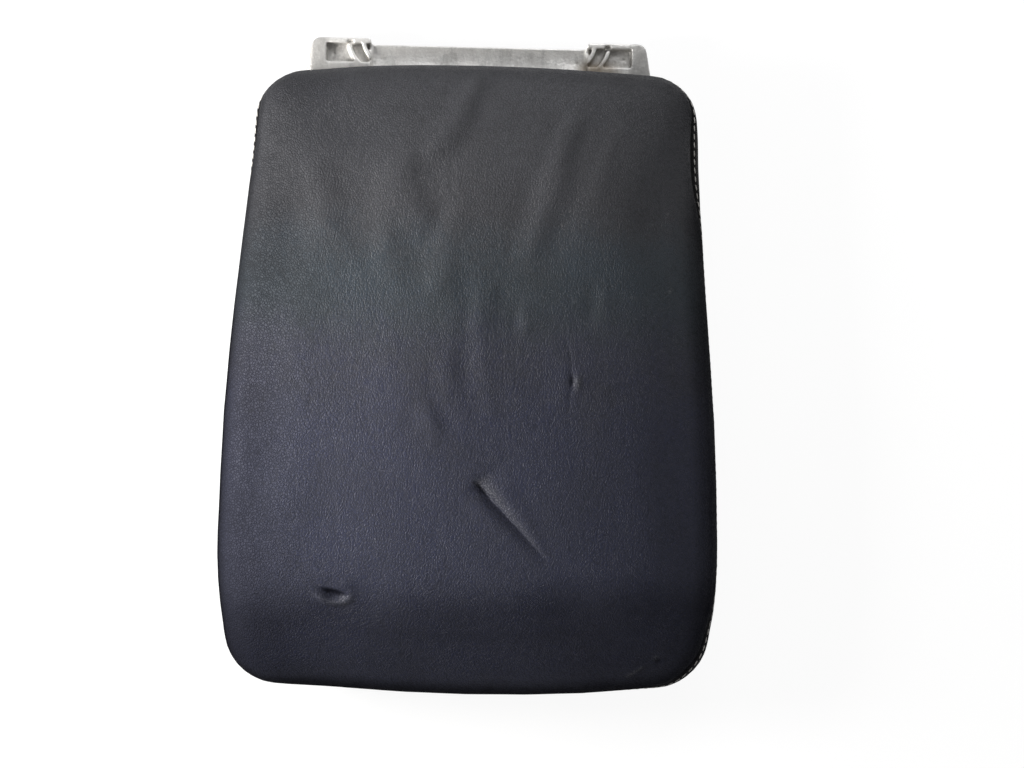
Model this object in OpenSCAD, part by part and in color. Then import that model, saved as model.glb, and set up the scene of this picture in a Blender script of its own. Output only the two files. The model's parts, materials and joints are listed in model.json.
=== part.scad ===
// Padded lid of a car's centre console, which serves as the armrest.
// X is the width, Y runs from the front (-) to the hinge (+) and Z is up, in millimetres.
// The origin is the middle of the footprint, on the face that the lid and its hinge base stand on.

/* [Pad outline] */
// Length of the pad from its front edge to its rear edge
pad_len = 313.5; // [290:0.5:330]
// Width between the outline's widest corner points, before they are rounded
pad_w = 250; // [236:1:264]
// How far the side's middle point lies inside the widest point
side_taper = 2.6; // [2:0.2:4]
// How far the rear corner points lie inside the widest point
rear_taper = 18.3; // [14:0.5:20]
// How far the front corner points lie inside the widest point
front_taper = 8.5; // [6:0.5:10]
// Distance of the side's middle point from the rear edge
side_knee = 174; // [150:1:180]
// Distance of the widest point from the front edge
front_knee = 55.3; // [54:0.1:65]
// Depth of the bowed front edge at its corner points
front_bow = 7.2; // [6:0.2:9]
// How far ahead of the front edge its straight ends would meet
front_peak = 4.3; // [2:0.1:4.5]
// Depth of the bowed rear edge at its corner points
rear_bow = 4.2; // [3:0.2:6]
// How far behind the rear edge its straight ends would meet
rear_peak = 1.6; // [0.8:0.1:2]
// Radius of the rear corners
rear_corner_r = 24; // [18:1:28]
// Radius of the front corners
front_corner_r = 28; // [20:1:28]
// Radius that blends the side at its middle point
side_blend_r = 1050; // [600:50:1100]
// Radius that blends the side at its widest point
front_blend_r = 230; // [150:10:240]

/* [Pad section] */
// Height of the seam between the side band and the top panel above the pad's underside
seam_h = 17; // [14:0.5:20]
// Width of the rolled edge above the seam
roll_w = 25; // [20:1:32]
// Height of the rolled edge above the seam
roll_h = 17; // [14:0.5:22]
// Height of the crown above the rolled edge
crown_h = 4.6; // [2:0.2:8]
// How steeply the top falls towards the front edge, in height over length
front_slope = 0.17; // [0:0.01:0.2]
// Distance from the front edge at which the top starts to fall
front_fall = 45; // [36:1:60]
// Rounding of the band's lower edge
band_tuck = 3.2; // [2:0.2:4]
// Thickness of the leather with its backing
leather_t = 1.4; // [1:0.1:2]
// Width of leather folded under the carrier
fold_w = 9; // [7:0.5:10]
// Thickness of the moulded carrier
carrier_t = 2.5; // [2:0.1:3.5]
// Height of the carrier's upstanding rim
rim_h = 7; // [4:0.5:9]
// Thickness of the carrier's rim
rim_t = 2.2; // [1.6:0.1:3]

/* [Hinge] */
// Height of the hinge axis above the foot
hinge_z = 9.5; // [9.4:0.1:11]
// Distance from the pad's rear edge to the rear face of the hinge ears
ear_out = 15; // [14.6:0.1:16]
// Distance from the pad's rear edge to the rear face of the bar between the ears
bar_out = 12.3; // [10:0.1:13]
// Radius of the ear's cheeks around the hinge axis
cheek_r = 7.5; // [7.2:0.1:7.8]
// Radius of the base's lugs around the hinge axis
lug_r = 6; // [5.5:0.1:6.2]
// Width of each lug
lug_w = 12; // [9:0.5:12.5]
// Distance of each lug's middle from the centre line
lug_x = 70; // [68.5:0.5:71]
// Radius of the hinge pins
pin_r = 3; // [2.5:0.1:3.2]
// Distance from the hinge pins' ends to the ears' outer face at the pad's edge
pin_cover = 3.2; // [3:0.1:5]
// Length of the cheeks' gussets ahead of the hinge axis
gusset_len = 32; // [24:1:34]
// Wall of the bushes
bush_t = 1.2; // [0.8:0.1:1.5]
// Thickness of the bushes' flange
flange_t = 1; // [0.6:0.1:1.2]
// Thickness of the foot of the hinge base
foot_t = 3; // [2.5:0.1:3]
// Depth of the foot
foot_d = 30; // [28:1:32]
// Width of the foot
foot_w = 164; // [156:1:166]
// Spacing of the foot's bolt holes across the car
bolt_dx = 80; // [60:1:110]
// Spacing of the foot's bolt holes along the car
bolt_dy = 16; // [12:0.5:17]
// Radius of the foot's bolt holes
bolt_r = 3.3; // [2.7:0.1:3.5]

/* [Casting] */
// Thickness of the casting's deck under the pad
deck_t = 2.6; // [2:0.1:3]
// Depth of the pockets in the ears below the deck's top face
pocket_d = 3; // [2.7:0.1:4]
// Thickness of the pocket floors
floor_t = 2; // [1.5:0.1:2.2]
// Gap between the lugs and the pocket floors above them
web_gap = 0.5; // [0.4:0.1:1]
// Height of the ears' ribs above the deck's top face
ear_rise = 2.2; // [1:0.1:3]
// Half the width over the ears at the pad's edge
ear_x = 87.2; // [86.5:0.1:88.5]
// How much each ear narrows from the pad's edge to its rear face
ear_flare = 3.2; // [1:0.1:4]
// Radius of the ears' outer rear corners
ear_corner_r = 5; // [3:0.5:6]
// Radius of the ears' rounded upper outer edge
ear_edge_r = 6; // [3:0.5:7]
// Half the width between the ears' inner ribs
bar_x = 54; // [50:0.5:55]
// Inner face of each ear's outer wall, from the centre line
pocket_x = 77.2; // [76.9:0.1:78]
// Thickness of the curved ribs
rib_t = 1.9; // [1.4:0.1:2.4]
// Radius of the outer curved rib
rib_r = 18; // [16:0.5:20]
// Radius of the inner curved rib
inner_rib_r = 15.7; // [14:0.1:17]
// Where the outer curved rib meets the ear's rear wall, from the centre line
rib_x = 66.8; // [65:0.1:68]
// Where the inner curved rib meets the ear's rear wall, from the centre line
inner_rib_x = 59.5; // [58.5:0.1:60]
// Thickness of the ears' rear wall
ear_wall = 2.6; // [2:0.1:3]
// Width of the lip between the pockets and the pad
lip_w = 3; // [2:0.1:4]
// Clearance between the pad's edge and the ears, seen from above
lip_gap = 0.3; // [0.2:0.1:0.8]
// Inset of the casting's deck from the pad's outline
deck_in = 11; // [10:0.5:12]
// Thickness of the casting's stiffening ribs
cast_rib_t = 2.2; // [1.8:0.1:3]
// Depth of the stiffening ribs below the deck
cast_rib_h = 5.4; // [4:0.2:6]
// Spacing of the lengthwise stiffening ribs
cast_rib_dx = 37; // [34:1:39]
// Spacing of the crosswise stiffening ribs
cast_rib_dy = 46; // [42:1:48]
// Radius of the lightening holes between the ribs
window_r = 13; // [8:0.5:14]

/* [Lower cover] */
// Height of the lower cover above the foot's plane
cover_z = 4; // [3.6:0.1:5]
// Inset of the lower cover from the pad's outline
cover_in = 13; // [12.5:0.5:14]
// Wall of the lower cover
cover_t = 2.4; // [2:0.1:2.8]
// Rounding of the lower cover's bottom edge
cover_round = 4; // [3:0.5:5]
// Radius of the rubber buffers
buffer_r = 7; // [5:0.5:9]
// Radius of the buffers' stem
buffer_stem_r = 3.5; // [2.5:0.1:4]
// Distance of the front buffers inside the pad's widest point
buffer_in = 33; // [31:1:45]
// Distance of the rear buffers inside the pad's rear corner points
buffer_rear_in = 22.7; // [20.7:0.5:32]
// Distance of the front buffers from the pad's front edge
buffer_front = 34; // [32:1:50]
// Distance of the rear buffers from the pad's rear edge
buffer_rear = 52; // [48:1:70]

/* [Latch] */
// Width of the latch lever's paddle
paddle_w = 48; // [40:1:52]
// Thickness of the paddle
paddle_t = 3.4; // [2.8:0.1:3.8]
// Distance of the paddle's tip from the pad's front edge
paddle_in = 4.5; // [3.5:0.5:6]
// Distance of the latch axis from the pad's front edge
latch_in = 24.8; // [24:0.2:26]
// Height of the latch axis above the foot's plane
latch_z = 12.5; // [12:0.1:12.8]
// Radius of the latch pin
latch_pin_r = 2; // [1.6:0.1:2.1]
// Radius of the lever's hub
hub_r = 4.5; // [4.2:0.1:4.8]
// Width of the lever's hub
hub_w = 18; // [16:0.5:20]
// Length of the hook below the latch axis
hook_len = 7.5; // [6.5:0.1:7.6]
// Reach of the hook's nose behind the latch axis
nose_reach = 5; // [4.5:0.1:5.5]
// Thickness of the housing's cheeks
housing_t = 2.8; // [2:0.1:3.4]
// Width of the housing's bezel around its mouth
bezel_w = 5; // [4.2:0.2:6]
// Distance of the mouth's front edge ahead of the latch axis
mouth_ahead = 8.5; // [8.2:0.1:9]
// Length of the mouth that takes the striker, from front to rear
mouth_len = 20; // [19:0.5:21]
// Wire thickness of the latch spring
wire = 0.9; // [0.7:0.1:1]
// Coils of the latch spring
coils = 5; // [3:1:6]

/* [Fits and fasteners] */
// Radial clearance of a turning pin in its bore
run_gap = 0.05; // [0.03:0.01:0.08]
// Radial clearance of a pressed pin or bush in its bore
press_gap = 0.02; // [0.01:0.01:0.03]
// Clearance between parts that are screwed or wrapped together
seat_gap = 0.15; // [0.1:0.05:0.3]
// Side clearance of the moving parts
side_gap = 0.6; // [0.4:0.1:0.8]
// Radius of the carrier screws
screw_r = 2; // [1.5:0.1:2.5]
// Radius of the carrier screws' head
head_r = 3.8; // [3.2:0.1:4.2]
// Height of the carrier screws' head
head_h = 2.2; // [1.6:0.1:2.6]
// Radius of the lower cover's screws
cover_screw_r = 1.7; // [1.4:0.1:2]
// Length of the lower cover's screws
cover_screw_len = 11; // [9:0.5:11.5]
// Depth of the holes that take them, from the cover's lower face
cover_hole_len = 12; // [11.6:0.1:12.6]
// Radius of the countersunk heads in the lower cover
csk_r = 3.6; // [3:0.1:4]
// Height of the countersunk heads
csk_h = 1.7; // [1.2:0.1:1.9]
// Radius of the screw bosses
boss_r = 4.4; // [4:0.1:5]

/* [Hidden] */

$fn = 48;
eps = 0.01;
cut = 1;

rear_y = (pad_len - ear_out) / 2;
front_y = rear_y - pad_len;
hinge_y = rear_y + ear_out - cheek_r;
floor_z = hinge_z + lug_r + web_gap + floor_t;
deck_z = floor_z + pocket_d;
ear_z = deck_z + ear_rise;
deck_low = deck_z - deck_t;
rib_low = deck_low - cast_rib_h;
pad_z = deck_z + seat_gap;
seam_z = pad_z + seam_h;
carrier_z = pad_z + leather_t + seat_gap;
carrier_top = carrier_z + carrier_t;
bolt_y = hinge_y - 20;
foot_rear = hinge_y - 5;
foot_front = foot_rear - foot_d;
cover_rear = foot_front - 4;
cover_top = deck_low - seat_gap;
latch_y = front_y + latch_in;
pin_end_x = ear_x - pin_cover - ear_flare / 2;
ear_front = rear_y - 14;
cheek_in = lug_x - lug_w / 2 - 6;
cheek_gap_in = lug_x - lug_w / 2 - 2;
cheek_gap_out = lug_x + lug_w / 2 + 2;

// Outlines. A corner point is [x, y, radius, steps along its arc].

function unit(v) = v / norm(v);
function before(p, i) = p[(i + len(p) - 1) % len(p)];
function after(p, i) = p[(i + 1) % len(p)];
function along(a, b) = unit([b.x - a.x, b.y - a.y]);
function left_of(v) = [-v.y, v.x];

// Corner points moved inwards by d, with their radii reduced to match
function inset(p, d) = [for (i = [0:len(p) - 1])
    let (b = p[i], u = along(before(p, i), b), v = along(b, after(p, i)),
        m = left_of(u + v) * d / (1 + u * v))
    [b.x + m.x, b.y + m.y, max(b.z - d, 1), b[3]]];

// Outline with an arc at each corner point, counter-clockwise
function rounded(p) = [for (i = [0:len(p) - 1])
    let (b = p[i], u = along(before(p, i), b), v = along(b, after(p, i)),
        turn = atan2(u.x * v.y - u.y * v.x, u * v),
        s = [b.x, b.y] - b.z * tan(turn / 2) * u, c = s + b.z * left_of(u),
        a = atan2(s.y - c.y, s.x - c.x))
    for (k = [0:b[3]]) c + b.z * [cos(a + turn * k / b[3]), sin(a + turn * k / b[3])]];

// Radius of a bowed edge whose crest touches the pad's end
function bow_r(bow, peak, half) = peak / (1 / cos(atan((bow + peak) / half)) - 1);

front_x = pad_w / 2 - front_taper;
rear_x = pad_w / 2 - rear_taper;
right_side = [
    [front_x, front_y + front_bow, front_corner_r, 7],
    [pad_w / 2, front_y + front_knee, front_blend_r, 4],
    [pad_w / 2 - side_taper, rear_y - side_knee, side_blend_r, 2],
    [rear_x, rear_y - rear_bow, rear_corner_r, 7]];
pad_points = concat(
    [[0, front_y - front_peak, bow_r(front_bow, front_peak, front_x), 6]],
    right_side,
    [[0, rear_y + rear_peak, bow_r(rear_bow, rear_peak, rear_x), 4]],
    [for (i = [3:-1:0]) [-right_side[i].x, right_side[i].y, right_side[i].z, right_side[i][3]]]);

function outline(d) = rounded(inset(pad_points, d));
function ring(d, z) = [for (p = outline(d)) [p.x, p.y, z]];
// Ring at the share s of the outline, which turns into an ellipse towards the middle
function crown_plan(d, z, s) =
    let (half_w = pad_w / 2 - d - side_taper, half_l = pad_len / 2 - d, e = 1 - s * s)
    [for (p = outline(d)) let (q = [p.x, p.y - mid_y], r = norm([q.x / half_w, q.y / half_l]),
        k = s * (1 - e + e / r)) [q.x * k, mid_y + q.y * k, z]];
mid_y = (front_y + rear_y) / 2;

// Solid through a stack of rings with the same number of points, from the lowest up
module loft(rings) {
    n = len(rings[0]);
    m = len(rings);
    polyhedron(
        points = [for (r = rings) each r],
        faces = concat(
            [[for (i = [0:n - 1]) i]],
            [for (k = [0:m - 2]) for (i = [0:n - 1])
                let (j = (i + 1) % n)
                each [[k * n + i, (k + 1) * n + i, (k + 1) * n + j],
                    [k * n + i, (k + 1) * n + j, k * n + j]]],
            [[for (i = [n - 1:-1:0]) (m - 1) * n + i]]));
}

module slab(d, low, high) {
    translate([0, 0, low]) linear_extrude(high - low) polygon(outline(d));
}

module both_sides() {
    for (s = [-1, 1]) scale_x(s) children();
}

module scale_x(s) {
    if (s < 0) mirror([1, 0, 0]) children();
    else children();
}

// Cylinder along X from x = low to x = high
module x_rod(r, low, high, y, z, fn = 48) {
    translate([low, y, z]) rotate([0, 90, 0]) cylinder(r = r, h = high - low, $fn = fn);
}

// Outline in the Y-Z plane, given as [y, z] points, drawn from x = low to x = high
module side_profile(low, high, points) {
    translate([low, 0, 0]) rotate([90, 0, 90]) linear_extrude(high - low) polygon(points);
}

module box(low, high) {
    translate(low) cube(high - low);
}

// Places of the repeated fasteners

frame_rows = [for (k = [0:4]) front_y + 68 + k * cast_rib_dy];
carrier_screw_places = concat(
    [for (x = [-2, 0, 2]) for (k = [0, 4]) [x * cast_rib_dx, frame_rows[k]]],
    [for (x = [-2, 2]) [x * cast_rib_dx, frame_rows[2]]]);
cover_screw_places = [for (x = [-1, 1]) for (k = [0, 2, 4]) [x * cast_rib_dx, frame_rows[k]]];
latch_screw_x = hub_w / 2 + side_gap + housing_t + 5.6;

// Pad

// The surface of the pad, or one lying d inside it. Sections run from the underside to the seam.
band_sections = [[band_tuck, 0], [band_tuck * 0.4, 0.1], [band_tuck * 0.12, 0.3],
    [0, 0.62], [0.1, 0.85], [0.3, 1]];
function band_rings(d) = [for (s = band_sections) ring(s[0] + d, pad_z + s[1] * seam_h)];
seam_in = 0.3;
roll_steps = 6;
roll_end = 84;
fall_blend = 8;
crown_scales = [0.92, 0.82, 0.68, 0.5, 0.32, 0.14];

function roll_ring(d, a) =
    ring(seam_in + d + (roll_w - d) * (1 - cos(a)), seam_z + (roll_h - d) * sin(a));
// The top's fall towards the front, which fades out down at the seam
function fall(p, d) = let (t = max(0, front_y + front_fall - p.y))
    front_slope * t * t / (t + fall_blend) * (p.z - seam_z) / (roll_h - d);
function crown_ring(d, s) = crown_plan(seam_in + d + (roll_w - d) * (1 - cos(roll_end)),
    seam_z + (roll_h - d) * sin(roll_end) + crown_h * (1 - pow(s, 1.8)), s);
function top_rings(d) = [for (r = concat(
    [for (k = [0:roll_steps]) roll_ring(d, roll_end * k / roll_steps)],
    [for (s = crown_scales) crown_ring(d, s)]))
    [for (p = r) [p.x, p.y, p.z - fall(p, d)]]];

module leather_top() {
    color([0.19, 0.19, 0.2]) difference() {
        loft(top_rings(0));
        loft(concat([ring(seam_in + leather_t, seam_z - cut)], top_rings(leather_t)));
    }
}

module leather_band() {
    color([0.14, 0.14, 0.15]) difference() {
        loft(band_rings(0));
        loft(concat([ring(band_tuck + leather_t, pad_z + leather_t)],
            [for (k = [1:5]) ring(band_sections[k][0] + leather_t,
                max(pad_z + band_sections[k][1] * seam_h, pad_z + leather_t + k * 0.2))],
            [ring(seam_in + leather_t, seam_z + cut)]));
        slab(fold_w, pad_z - cut, pad_z + leather_t + cut);
    }
}

carrier_in = band_tuck + leather_t + seat_gap;

module carrier_rim(grow) {
    difference() {
        slab(carrier_in - grow, carrier_z, carrier_z + rim_h + grow);
        slab(carrier_in + rim_t + grow, carrier_z - cut, carrier_z + rim_h + grow + cut);
    }
}

// Moulded tray that the foam sits in, with a boss over each screw that stands on the casting
module pad_carrier() {
    color([0.12, 0.12, 0.13]) difference() {
        union() {
            slab(carrier_in, carrier_z, carrier_top);
            carrier_rim(0);
            for (p = carrier_screw_places) translate([p.x, p.y, deck_z])
                cylinder(r = boss_r, h = carrier_top - deck_z);
        }
        for (p = carrier_screw_places) translate([p.x, p.y, deck_z - cut])
            cylinder(r = screw_r + press_gap, h = carrier_top + cut - deck_z - 0.8);
    }
}

module foam_pad() {
    d = leather_t + seat_gap;
    color([0.75, 0.7, 0.5]) difference() {
        loft(concat(
            [ring(carrier_in + seat_gap, carrier_top + seat_gap)],
            [for (k = [3:5]) ring(band_sections[k][0] + d, pad_z + band_sections[k][1] * seam_h)],
            [for (r = top_rings(d)) r]));
        carrier_rim(seat_gap);
    }
}

// Casting

// Plan of the beam behind the pad: the bar and the two ears, on one side
ear_points = [
    [ear_x + 1, ear_front, 1, 2],
    [ear_x, rear_y - 2, 1, 2],
    [ear_x - ear_flare, rear_y + ear_out, ear_corner_r, 6],
    [bar_x + 0.8, rear_y + ear_out, 1, 3],
    [bar_x + 0.8, ear_front, 1, 2]];

// The ear's block, rounded in plan and along its upper outer edge
module ear_block(low, high) {
    intersection() {
        translate([0, 0, low]) linear_extrude(high - low) polygon(rounded(ear_points));
        translate([0, rear_y + ear_out + cut, 0]) rotate([90, 0, 0])
            linear_extrude(ear_out + 20) polygon(rounded([
                [0, low - cut, 1, 2],
                [ear_x + 3, low - cut, 1, 2],
                [ear_x + 0.6, ear_z, ear_edge_r, 6],
                [0, ear_z, 1, 2]]));
    }
}

// Curved rib: part of a ring about a centre at the ear's rear face
module curved_rib(x, r, low) {
    translate([x - r, rear_y + ear_out, low]) difference() {
        cylinder(r = r, h = ear_z - low, $fn = 96);
        translate([0, 0, -cut]) cylinder(r = r - rib_t, h = ear_z - low + 2 * cut, $fn = 96);
    }
}

// Cheek around the hinge pin, with its gusset under the deck
module cheek(low, high) {
    x_rod(cheek_r, low, high, hinge_y, hinge_z, 64);
    side_profile(low, high, [
        [hinge_y + cheek_r, hinge_z], [hinge_y + cheek_r, floor_z - eps],
        [hinge_y - gusset_len, floor_z - eps], [hinge_y - gusset_len, rib_low + 1],
        [hinge_y - cheek_r * 0.6, hinge_z - cheek_r * 0.8]]);
}

module ear() {
    difference() {
        union() {
            ear_block(floor_z - floor_t, ear_z);
            intersection() {
                union() {
                    cheek(cheek_in, cheek_gap_in);
                    cheek(cheek_gap_out, ear_x + 2);
                }
                ear_block(0, ear_z);
            }
            // gussets run on under the deck beyond the ear's own plan
            intersection() {
                union() {
                    cheek(cheek_in, cheek_gap_in);
                    cheek(cheek_gap_out, cheek_gap_out + 3);
                }
                box([0, hinge_y - gusset_len - cut, 0], [ear_x, ear_front + cut, deck_low + eps]);
            }
        }
        // pocket between the outer wall and the bar, which leaves the ribs standing
        difference() {
            box([bar_x, rear_y + lip_w, floor_z],
                [pocket_x, rear_y + ear_out - ear_wall, ear_z + cut]);
            curved_rib(rib_x, rib_r, floor_z - cut);
            curved_rib(inner_rib_x, inner_rib_r, floor_z - cut);
        }
        // the pad's edge lies over the lip, which is cut down to the deck along it
        slab(-lip_gap, deck_z, ear_z + cut);
        // the ribs' rear ends are notched where the core of the mould stood
        box([rib_x - 3.4, rear_y + ear_out - ear_wall - 1.2, floor_z + 1.2],
            [rib_x - 0.2, rear_y + ear_out - ear_wall + 1.4, ear_z + cut]);
        // bores: through the inner cheek, blind in the outer one
        x_rod(pin_r + press_gap, cheek_in - cut, pin_end_x + 0.4, hinge_y, hinge_z, 64);
        // small round marks left by the ejectors
        translate([pocket_x - 3.6, rear_y + 7.6, floor_z - 0.5]) cylinder(r = 1, h = cut, $fn = 24);
    }
}

// Bar between the ears, scooped along its top and stiffened by a flange behind
module bar() {
    scoop_r = 22;
    scoop_y = rear_y + (bar_out + lip_w) / 2 - 0.6;
    difference() {
        union() {
            box([-bar_x - 1.4, ear_front, deck_low], [bar_x + 1.4, rear_y + bar_out, deck_z - 0.4]);
            box([-bar_x - 1.4, ear_front, deck_low], [bar_x + 1.4, rear_y + lip_w - 0.8, deck_z]);
            box([-bar_x - 1.4, rear_y + bar_out - 2.6, deck_low - 5],
                [bar_x + 1.4, rear_y + bar_out, deck_low + eps]);
        }
        x_rod(scoop_r, -bar_x, bar_x, scoop_y, deck_z - 1.6 + scoop_r, 96);
        for (s = [-1, 1]) translate([s * (bar_x - 4.4), rear_y + 5.2, deck_z - 1.9])
            cylinder(r = 0.9, h = cut + 1, $fn = 24);
    }
}

// Stiffening ribs, flange and bosses under the deck
module deck_ribs() {
    rear_rib = cover_rear + 1;
    intersection() {
        union() {
            for (k = [-2:2]) box([k * cast_rib_dx - cast_rib_t / 2, front_y, rib_low],
                [k * cast_rib_dx + cast_rib_t / 2, rear_y - 6, deck_low + eps]);
            for (y = frame_rows) box([-pad_w / 2, y - cast_rib_t / 2, rib_low],
                [pad_w / 2, y + cast_rib_t / 2, deck_low + eps]);
            box([-pad_w / 2, rear_rib, rib_low], [pad_w / 2, rear_rib + cast_rib_t, deck_low + eps]);
            difference() {
                slab(cover_in + cover_t + 0.4, rib_low, deck_low + eps);
                slab(cover_in + cover_t + 0.4 + cast_rib_t, rib_low - cut, deck_low + cut);
            }
        }
        slab(cover_in + cover_t + 0.4, rib_low - cut, deck_low + cut);
    }
    for (p = cover_screw_places) translate([p.x, p.y, cover_z + cover_t])
        cylinder(r = boss_r, h = deck_low + eps - cover_z - cover_t);
    for (p = carrier_screw_places) translate([p.x, p.y, rib_low])
        cylinder(r = head_r + 2, h = cast_rib_h + eps);
}

// Lightening holes, one to each cell between the ribs
module deck_windows() {
    for (k = [-2:1]) for (j = [0:3])
        translate([(k + 0.5) * cast_rib_dx, frame_rows[j] + cast_rib_dy / 2, deck_low - cut])
            cylinder(r = window_r, h = deck_t + 2 * cut);
}

module cast_frame() {
    latch_half = latch_screw_x + 6;
    color([0.72, 0.71, 0.69]) difference() {
        union() {
            difference() {
                union() {
                    slab(deck_in, deck_low, deck_z);
                    deck_ribs();
                }
                // room for the latch under the deck's front
                box([-latch_half, front_y, cover_z - cut], [latch_half, latch_y + 21, deck_low]);
                deck_windows();
            }
            bar();
            both_sides() ear();
        }
        for (p = carrier_screw_places) translate([p.x, p.y, rib_low - cut]) {
            cylinder(r = screw_r + press_gap, h = pad_z - rib_low + 2 * cut);
            cylinder(r = head_r + 0.2, h = cut + head_h + 0.4);
        }
        for (p = cover_screw_places) translate([p.x, p.y, cover_z])
            cylinder(r = cover_screw_r + press_gap, h = cover_hole_len);
        both_sides() translate([latch_screw_x, latch_y + 4, deck_low - cut])
            cylinder(r = cover_screw_r + press_gap, h = deck_t + 2 * cut);
    }
}

// Pan-head screws up through the casting into the carrier's bosses
module carrier_screws() {
    color([0.55, 0.55, 0.57]) for (p = carrier_screw_places)
        translate([p.x, p.y, rib_low + 0.4]) difference() {
            union() {
                cylinder(r = head_r, h = head_h);
                cylinder(r = screw_r, h = carrier_top - 1 - rib_low - 0.4);
            }
            cross_slot(-eps, 1.2);
        }
}

// Cross recess of a screw, opening downwards
module cross_slot(low, high) {
    for (a = [0, 90]) rotate([0, 0, a]) box([-1.6, -0.35, low], [1.6, 0.35, high]);
}

// Hinge

module foot_plate() {
    linear_extrude(foot_t) polygon(rounded([
        [-foot_w / 2, foot_front, 6, 6], [foot_w / 2, foot_front, 6, 6],
        [foot_w / 2, foot_rear, 1.5, 3], [-foot_w / 2, foot_rear, 1.5, 3]]));
}

// Lug with its arm from the foot and the heel that stops the lid when it is open
module lug() {
    low = lug_x - lug_w / 2;
    high = lug_x + lug_w / 2;
    heel = lug_r - 0.4;
    x_rod(lug_r, low, high, hinge_y, hinge_z, 64);
    side_profile(low, high, [
        [hinge_y - 19, foot_t - eps], [hinge_y - 19, 0], [hinge_y + heel, 0],
        [hinge_y + heel, hinge_z - 7.2], [hinge_y + 3.6, hinge_z - 4.8],
        [hinge_y, hinge_z], [hinge_y - 4.2, hinge_z + 4.2]]);
}

module hinge_base() {
    color([0.2, 0.2, 0.21]) difference() {
        union() {
            foot_plate();
            both_sides() lug();
            // upturned lip that stiffens the foot's front edge between the lugs
            box([-foot_w / 2 + 26, foot_front, 0], [foot_w / 2 - 26, foot_front + foot_t, 6]);
        }
        both_sides() x_rod(pin_r + run_gap + bush_t + press_gap, lug_x - lug_w, lug_x + lug_w,
            hinge_y, hinge_z, 64);
        for (x = [-1, 1]) for (y = [-1, 1])
            translate([x * bolt_dx / 2, bolt_y + y * bolt_dy / 2, -cut])
                cylinder(r = bolt_r, h = foot_t + 2 * cut);
    }
}

module bush(side) {
    color([0.85, 0.83, 0.75]) scale_x(side) difference() {
        union() {
            x_rod(pin_r + run_gap + bush_t, lug_x - lug_w / 2 - eps, lug_x + lug_w / 2,
                hinge_y, hinge_z, 64);
            x_rod(pin_r + run_gap + bush_t + 1.4, lug_x - lug_w / 2 - flange_t,
                lug_x - lug_w / 2, hinge_y, hinge_z, 64);
        }
        x_rod(pin_r + run_gap, lug_x - lug_w, lug_x + lug_w, hinge_y, hinge_z, 64);
    }
}

// Coned washer between the lug and the ear's outer cheek, which takes up the side play
module spring_washer(side) {
    washer_t = 0.5;
    cone = 2 - 0.3 - washer_t;
    inner = pin_r + 0.25;
    color([0.6, 0.6, 0.62]) scale_x(side)
        translate([lug_x + lug_w / 2, hinge_y, hinge_z]) rotate([0, 90, 0])
            rotate_extrude($fn = 64) polygon([[inner, cone], [5.8, 0], [5.8, washer_t],
                [inner, cone + washer_t]]);
}

// Headed pin, pressed into the ear from the middle of the casting
module hinge_pin(side) {
    color([0.66, 0.66, 0.68]) scale_x(side) {
        x_rod(pin_r, cheek_in - eps, pin_end_x, hinge_y, hinge_z, 64);
        x_rod(pin_r + 1.8, cheek_in - 2.2, cheek_in, hinge_y, hinge_z, 64);
    }
}

// Lower cover

module cover_shell(d, low, rear) {
    intersection() {
        loft([ring(cover_in + d + cover_round * 0.7, low),
            ring(cover_in + d + cover_round * 0.2, low + cover_round * 0.4),
            ring(cover_in + d, low + cover_round),
            ring(cover_in + d, cover_top + (d > 0 ? cut : 0))]);
        box([-pad_w, front_y, 0], [pad_w, rear, deck_z]);
    }
}

housing_half = hub_w / 2 + side_gap + housing_t;
bezel_half = hub_w / 2 + side_gap + bezel_w + 2;
mouth_front = latch_y - mouth_ahead;
mouth_rear = mouth_front + mouth_len;

module lower_cover() {
    color([0.1, 0.1, 0.11]) difference() {
        cover_shell(0, cover_z, cover_rear);
        cover_shell(cover_t, cover_z + cover_t, cover_rear - cover_t);
        for (p = cover_screw_places) translate([p.x, p.y, cover_z - eps]) {
            cylinder(r1 = csk_r + 0.2, r2 = cover_screw_r + 0.2, h = csk_h + 0.2);
            cylinder(r = cover_screw_r + 0.2, h = cover_t + cut);
        }
        for (s = [-1, 1]) for (p = buffer_places) translate([s * p.x, p.y, cover_z - cut])
            cylinder(r = buffer_stem_r + 0.1, h = cover_t + 2 * cut);
        // the rear wall ends under the casting's ribs, which run on behind it
        box([-pad_w, cover_rear - cover_t - cut, rib_low - seat_gap],
            [pad_w, cover_rear + cut, cover_top + cut]);
        // window for the latch, and the slot in the front wall for its lever
        box([-bezel_half - seat_gap, mouth_front - bezel_w - seat_gap, cover_z - cut],
            [bezel_half + seat_gap, mouth_rear + bezel_w + seat_gap, cover_z + cover_t + cut]);
        box([-paddle_w / 2 - 2, front_y, cover_z + cover_t],
            [paddle_w / 2 + 2, mouth_front, cover_top + cut]);
    }
}

// Countersunk screws up through the lower cover into the casting's bosses
module cover_screws() {
    color([0.25, 0.25, 0.26]) for (p = cover_screw_places)
        translate([p.x, p.y, cover_z + 0.1]) difference() {
            union() {
                cylinder(r1 = csk_r, r2 = cover_screw_r, h = csk_h);
                cylinder(r = cover_screw_r, h = cover_screw_len);
            }
            cross_slot(-eps, 1);
        }
}

buffer_places = [[pad_w / 2 - buffer_in, front_y + buffer_front],
    [rear_x - buffer_rear_in, rear_y - buffer_rear]];

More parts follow.
